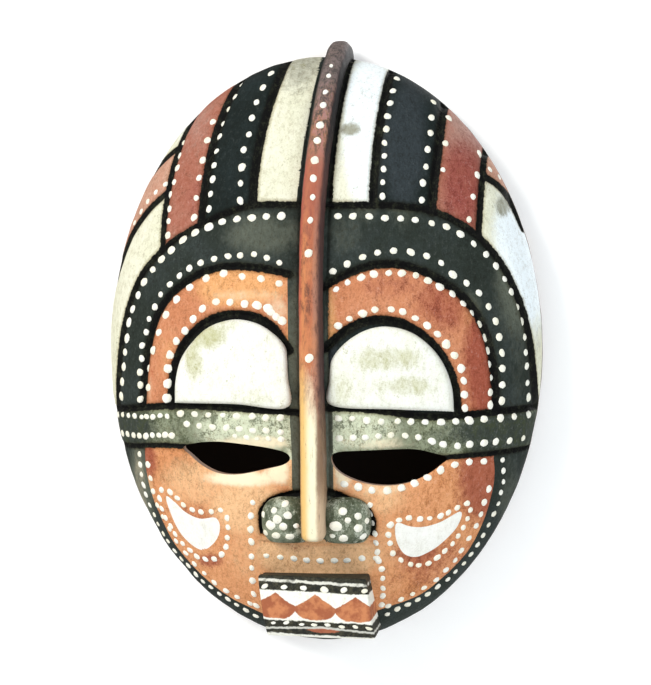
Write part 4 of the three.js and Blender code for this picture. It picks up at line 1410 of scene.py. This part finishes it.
def lay_row(dabs, tree, points, count, width, height, closed=False, longer=1.18):
    line = through(points, 0.5, closed)
    stops = np.linspace(0, len(line) - 1, count + (1 if closed else 0))
    for k, stop in enumerate(stops[:count]):
        i = int(round(stop))
        before, after = line[max(i - 1, 0)], line[min(i + 1, len(line) - 1)]
        way = after - before
        x = line[i][0] + 0.7 * scatter(k, points[0][0], 1.0)
        z = line[i][1] + 0.7 * scatter(points[0][1], k, 4.0)
        place, normal = seen_from_front(tree, x, z)
        along = Vector((way[0], 0, way[1])).normalized()
        spread = width * (1.05 + 0.3 * scatter(k, points[0][0], 9.0))
        dabs.add(place, normal, along, spread, height, longer)


MOUTH_DOTS = [
    ([(-24, -115.3), (-2, -116.2), (24.3, -117.5)], 6, 3.1, 1.5),
    ([(-20, -133.2), (4, -134.3), (27, -135.4)], 8, 2.3, 1.7),
]
# The nostrils' dots: x, z and width.
NOSTRIL_DOTS = {
    "left": [
        (-14.5, -75, 4), (-20, -78.5, 3.6), (-13, -80.8, 4.4), (-18.5, -83, 5), (-26, -80.8, 3.8),
        (-15.5, -86.5, 4.6), (-22, -86, 5.4), (-25, -90, 3.8), (-19.5, -91.2, 4.4), (-12.5, -91.6, 4.4),
        (-9, -86, 3),
    ],
    "right": [
        (14, -78.6, 4.4), (21.5, -81, 4), (10.5, -86, 6), (21.5, -87, 4.6), (25.5, -83.5, 3.4),
        (14, -92.3, 5), (23.5, -91.5, 4), (16.5, -83, 3.4), (8.6, -91, 3),
    ],
}
# The crest's dots: z, offset from its middle line and width.
CREST_DOTS = [
    (141, -0.8, 2.4), (135.8, -0.7, 2.8), (127.4, -0.6, 3), (120.7, -0.6, 3.6), (110.6, -0.6, 4.4),
    (102.8, -0.7, 4.2), (93.1, -0.7, 4.4), (84.2, -0.5, 4), (74.8, 0.2, 3.2), (63.6, -0.3, 3.4),
    (47.5, -0.6, 4.2), (-3.6, -0.3, 4.6),
]


class MASK_OT_dots(Operator):
    """Lays the rows of white dots"""

    bl_idname = "mask.dots"
    bl_label = "Dots"

    def execute(self, context):
        height = carving().dot_height
        finish = paint("dot_white", (0.88, 0.87, 0.79), (0.84, 0.81, 0.66), soil=0.15)
        shell = Dabs()
        tree = surface_of("mask_shell_carved")
        for points, count, width in DOT_ROWS:
            lay_row(shell, tree, points, count, width, height)
        for points, count in CRESCENT_DOTS.values():
            lay_row(shell, tree, points, count, 3.3, height, closed=True)
        mouth = Dabs()
        tree = surface_of("mouth_carved")
        for points, count, width, longer in MOUTH_DOTS:
            lay_row(mouth, tree, points, count, width, height, longer=longer)
        nose = Dabs()
        for side, places in NOSTRIL_DOTS.items():
            tree = surface_of("nostril_lobe_" + side)
            for x, z, width in places:
                place, normal = seen_from_front(tree, x, z)
                nose.add(place, normal, Vector((1, 0, 0.3)), width, height)
        crest = Dabs()
        tree = surface_of("crest_and_nose")
        for z, aside, width in CREST_DOTS:
            place, normal = seen_from_front(tree, lean(z) + aside, z)
            crest.add(place, normal, Vector((0.3, 0, 1)), width, height)
        laid = {"dots_face": shell, "dots_mouth": mouth, "dots_nose": nose, "dots_crest": crest}
        for name, dabs in laid.items():
            finish_piece(dabs.piece(name), [finish], 60, "white_paint")
        return {"FINISHED"}


# ---- Pegs and hanger ----


class MASK_OT_pegs(Operator):
    """Turns the dowels that hold the crest and the mouth"""

    bl_idname = "mask.pegs"
    bl_label = "Pegs"

    def execute(self, context):
        finish = wood("peg_wood", (0.5, 0.32, 0.17), (0.34, 0.2, 0.1), 0.7, 0.3)
        for node in sorted(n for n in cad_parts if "_peg_" in n):
            low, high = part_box(node)
            middle = (low + high) / 2
            radius = (high.x - low.x) / 2
            bpy.ops.mesh.primitive_cylinder_add(vertices=40, radius=radius, depth=high.y - low.y,
                                                location=middle, rotation=(math.pi / 2, 0, 0))
            piece = added(node + "_turned")
            round_edges(piece, 0.5, 3, 40)
            finish_piece(piece, [finish], 40, "peg_wood", node)
        return {"FINISHED"}


class MASK_OT_hanger(Operator):
    """Bends the ring, and finishes it with the strap and its screws"""

    bl_idname = "mask.hanger"
    bl_label = "Hanger"

    def execute(self, context):
        metal = steel()
        self.ring(metal)
        for node in ("hanger_strap", "hanger_screw_upper", "hanger_screw_lower"):
            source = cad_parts[node]
            piece = source.copy()
            piece.data = source.data.copy()
            piece.name = node + "_plated"
            piece.parent = None
            for key in list(piece.keys()):
                del piece[key]
            bpy.context.scene.collection.objects.link(piece)
            piece.data.materials.clear()
            edit(piece, lambda: bpy.ops.mesh.remove_doubles(threshold=0.00001))
            round_edges(piece, 0.12, 2, 35)
            finish_piece(piece, [metal], 35, "steel", node)
        return {"FINISHED"}

    def ring(self, metal):
        """A D of round wire, bent from a torus."""
        low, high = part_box("hanger_ring")
        wire = (high.y - low.y) / 2
        half = (high.x - low.x) / 2 - wire
        foot, head = low.z + wire, high.z - wire
        bpy.ops.mesh.primitive_torus_add(major_segments=112, minor_segments=20, major_radius=1,
                                         minor_radius=0.2, rotation=(math.pi / 2, 0, 0))
        piece = added("hanger_ring_wire")
        middle = head - half
        corner = 1.6 * MM
        for vertex in piece.data.vertices:
            turn = math.atan2(vertex.co.z, vertex.co.x)
            spoke = Vector((math.cos(turn), 0, math.sin(turn)))
            around = math.atan2(vertex.co.y, vertex.co.dot(spoke) - 1)
            x, z, normal = self.line(turn, half, middle, foot, corner)
            outward = Vector((normal[0], 0, normal[1]))
            vertex.co = Vector((x, (low.y + high.y) / 2, z)) + wire * (
                math.cos(around) * outward + math.sin(around) * Vector((0, 1, 0)))
        finish_piece(piece, [metal], 60, "steel", "hanger_ring", body=RING_BODY)

    def line(self, turn, half, middle, foot, corner):
        """The D's centre line at a turn: a half circle above, straight legs and rounded feet below."""
        if turn >= 0:
            return half * math.cos(turn), middle + half * math.sin(turn), (math.cos(turn), math.sin(turn))
        share = (-turn) / math.pi
        leg = middle - foot - corner
        arc = corner * math.pi / 2
        flat = 2 * (half - corner)
        total = 2 * leg + 2 * arc + flat
        far = share * total
        sign = 1
        if far > total / 2:
            far, sign = total - far, -1
        if far < leg:
            return sign * half, middle - far, (sign, 0)
        far -= leg
        if far < arc:
            bend = far / corner
            x = half - corner + corner * math.cos(bend)
            return sign * x, foot + corner - corner * math.sin(bend), (sign * math.cos(bend), -math.sin(bend))
        return sign * (half - corner - (far - arc)), foot, (0, -1)


# ---- Stage ----

CAMERA_DISTANCE = 1.3
CAMERA_AZIMUTH = 6.0
CAMERA_ELEVATION = 1.0
CAMERA_LENS = 132.8
STUDIO_LIGHT = 0.6
BACKDROP_GLOW = 0.15


def plaster(name):
    """A pale plaster, and its colour before anything is laid over it."""
    f = Finish(name, 0.9, 0.2)
    return f, f.mix((0.93, 0.93, 0.93), (0.9, 0.9, 0.9), f.noise(60, 3))


class MASK_OT_stage(Operator):
    """Sets the pale wall and floor, the soft lights and the camera"""

    bl_idname = "mask.stage"
    bl_label = "Stage"

    def execute(self, context):
        self.wall()
        self.light("key", (-1.0, -1.2, 0.75), 0.7, 24, (1.0, 0.98, 0.93))
        self.light("fill", (1.1, -1.2, -0.1), 1.2, 10, (0.82, 0.93, 1.0))
        self.light("rear", (0.7, 1.2, 0.5), 0.8, 12, (1.0, 1.0, 1.0))
        world = bpy.data.worlds.new("studio")
        world.use_nodes = True
        sky = world.node_tree.nodes["Background"].inputs
        sky["Color"].default_value = (1, 1, 1, 1)
        sky["Strength"].default_value = STUDIO_LIGHT
        context.scene.world = world
        context.scene.view_settings.view_transform = "Standard"
        self.camera(context)
        return {"FINISHED"}

    def wall(self):
        """A wall that glows a little and is clear from the back, with painted shade behind the mask: black
        and without glow there, so that the slits look dark. And a floor.
        """
        bpy.ops.mesh.primitive_plane_add(size=6, location=(0, 0.0012, 0), rotation=(math.pi / 2, 0, 0))
        wall = added("wall")
        bpy.ops.mesh.primitive_plane_add(size=6, location=(0, 0, -0.9))
        floor = added("floor")
        pale, pale_tone = plaster("pale_plaster")
        pale.set("Base Color", pale_tone)
        floor.data.materials.append(pale.material)
        screen, screen_tone = plaster("wall_plaster")
        x = screen.along(0) * (1 / HALF_WIDTH)
        z = screen.height() * (1 / HALF_HEIGHT)
        # painted shade: the wall is black and does not glow where it lies behind the mask, so that the slits
        # read dark
        painted_shade_behind_mask = (x * x + z * z).rises(0.88, 0.84)
        screen.set("Base Color", screen.mix(screen_tone, LINE_BLACK, painted_shade_behind_mask))
        screen.set("Emission Color", screen.mix((1, 1, 1), (0, 0, 0), painted_shade_behind_mask))
        screen.shader.inputs["Emission Strength"].default_value = BACKDROP_GLOW
        behind = screen.node("ShaderNodeNewGeometry", {}, {}, "Backfacing")
        clear = screen.node("ShaderNodeBsdfTransparent", {}, {})
        face = Link(screen, screen.shader.outputs[0])
        mixed = screen.node("ShaderNodeMixShader", {}, {0: behind, 1: face, 2: clear})
        output = screen.tree.nodes["Material Output"]
        screen.tree.links.new(mixed.socket, output.inputs["Surface"])
        wall.data.materials.append(screen.material)
        wall.visible_shadow = False
        wall.visible_diffuse = False
        wall.visible_glossy = False

    def light(self, name, place, size, power, tint):
        lamp = bpy.data.lights.new(name, "AREA")
        lamp.shape = "DISK"
        lamp.size = size
        lamp.energy = power
        lamp.color = tint
        made = linked(name, lamp)
        made.location = place
        aim = Vector((0, -0.03, OVAL_Z * MM)) - made.location
        made.rotation_euler = aim.to_track_quat("-Z", "Y").to_euler()

    def camera(self, context):
        turn, tilt = math.radians(CAMERA_AZIMUTH), math.radians(CAMERA_ELEVATION)
        back = Vector((math.sin(turn) * math.cos(tilt), -math.cos(turn) * math.cos(tilt), math.sin(tilt)))
        aim = in_frame(-1.3, 2.8, 0)
        data = bpy.data.cameras.new("camera")
        data.lens = CAMERA_LENS
        data.sensor_width = 36.0
        camera = linked("camera", data)
        camera.location = aim + back * CAMERA_DISTANCE
        camera.rotation_euler = (-back).to_track_quat("-Z", "Y").to_euler()
        context.scene.camera = camera


# ---- Panel and registration ----


class MASK_PT_panel(Panel):
    """Lists the mask's sizes, paints and pieces"""

    bl_label = "Carved Wall Mask"
    bl_idname = "MASK_PT_panel"
    bl_space_type = "VIEW_3D"
    bl_region_type = "UI"
    bl_category = "Mask"

    def draw(self, context):
        for group in (context.scene.mask_carving, context.scene.mask_paint):
            box = self.layout.box()
            for name in group.bl_rna.properties.keys():
                if name not in ("rna_type", "name"):
                    box.prop(group, name)
        for operator in PIECES:
            self.layout.operator(operator.bl_idname)


PIECES = (
    MASK_OT_shell, MASK_OT_crest, MASK_OT_nostrils, MASK_OT_eyelids, MASK_OT_mouth, MASK_OT_dots,
    MASK_OT_pegs, MASK_OT_hanger, MASK_OT_stage,
)
CLASSES = (MaskCarving, MaskPaint, *PIECES, MASK_PT_panel)


def register():
    for cls in CLASSES:
        bpy.utils.register_class(cls)
    bpy.types.Scene.mask_carving = PointerProperty(type=MaskCarving)
    bpy.types.Scene.mask_paint = PointerProperty(type=MaskPaint)


def unregister():
    del bpy.types.Scene.mask_paint
    del bpy.types.Scene.mask_carving
    for cls in reversed(CLASSES):
        bpy.utils.unregister_class(cls)


def main():
    register()
    for operator in PIECES:
        getattr(bpy.ops.mask, operator.bl_idname.split(".")[1])()


if __name__ == "__main__":
    main()
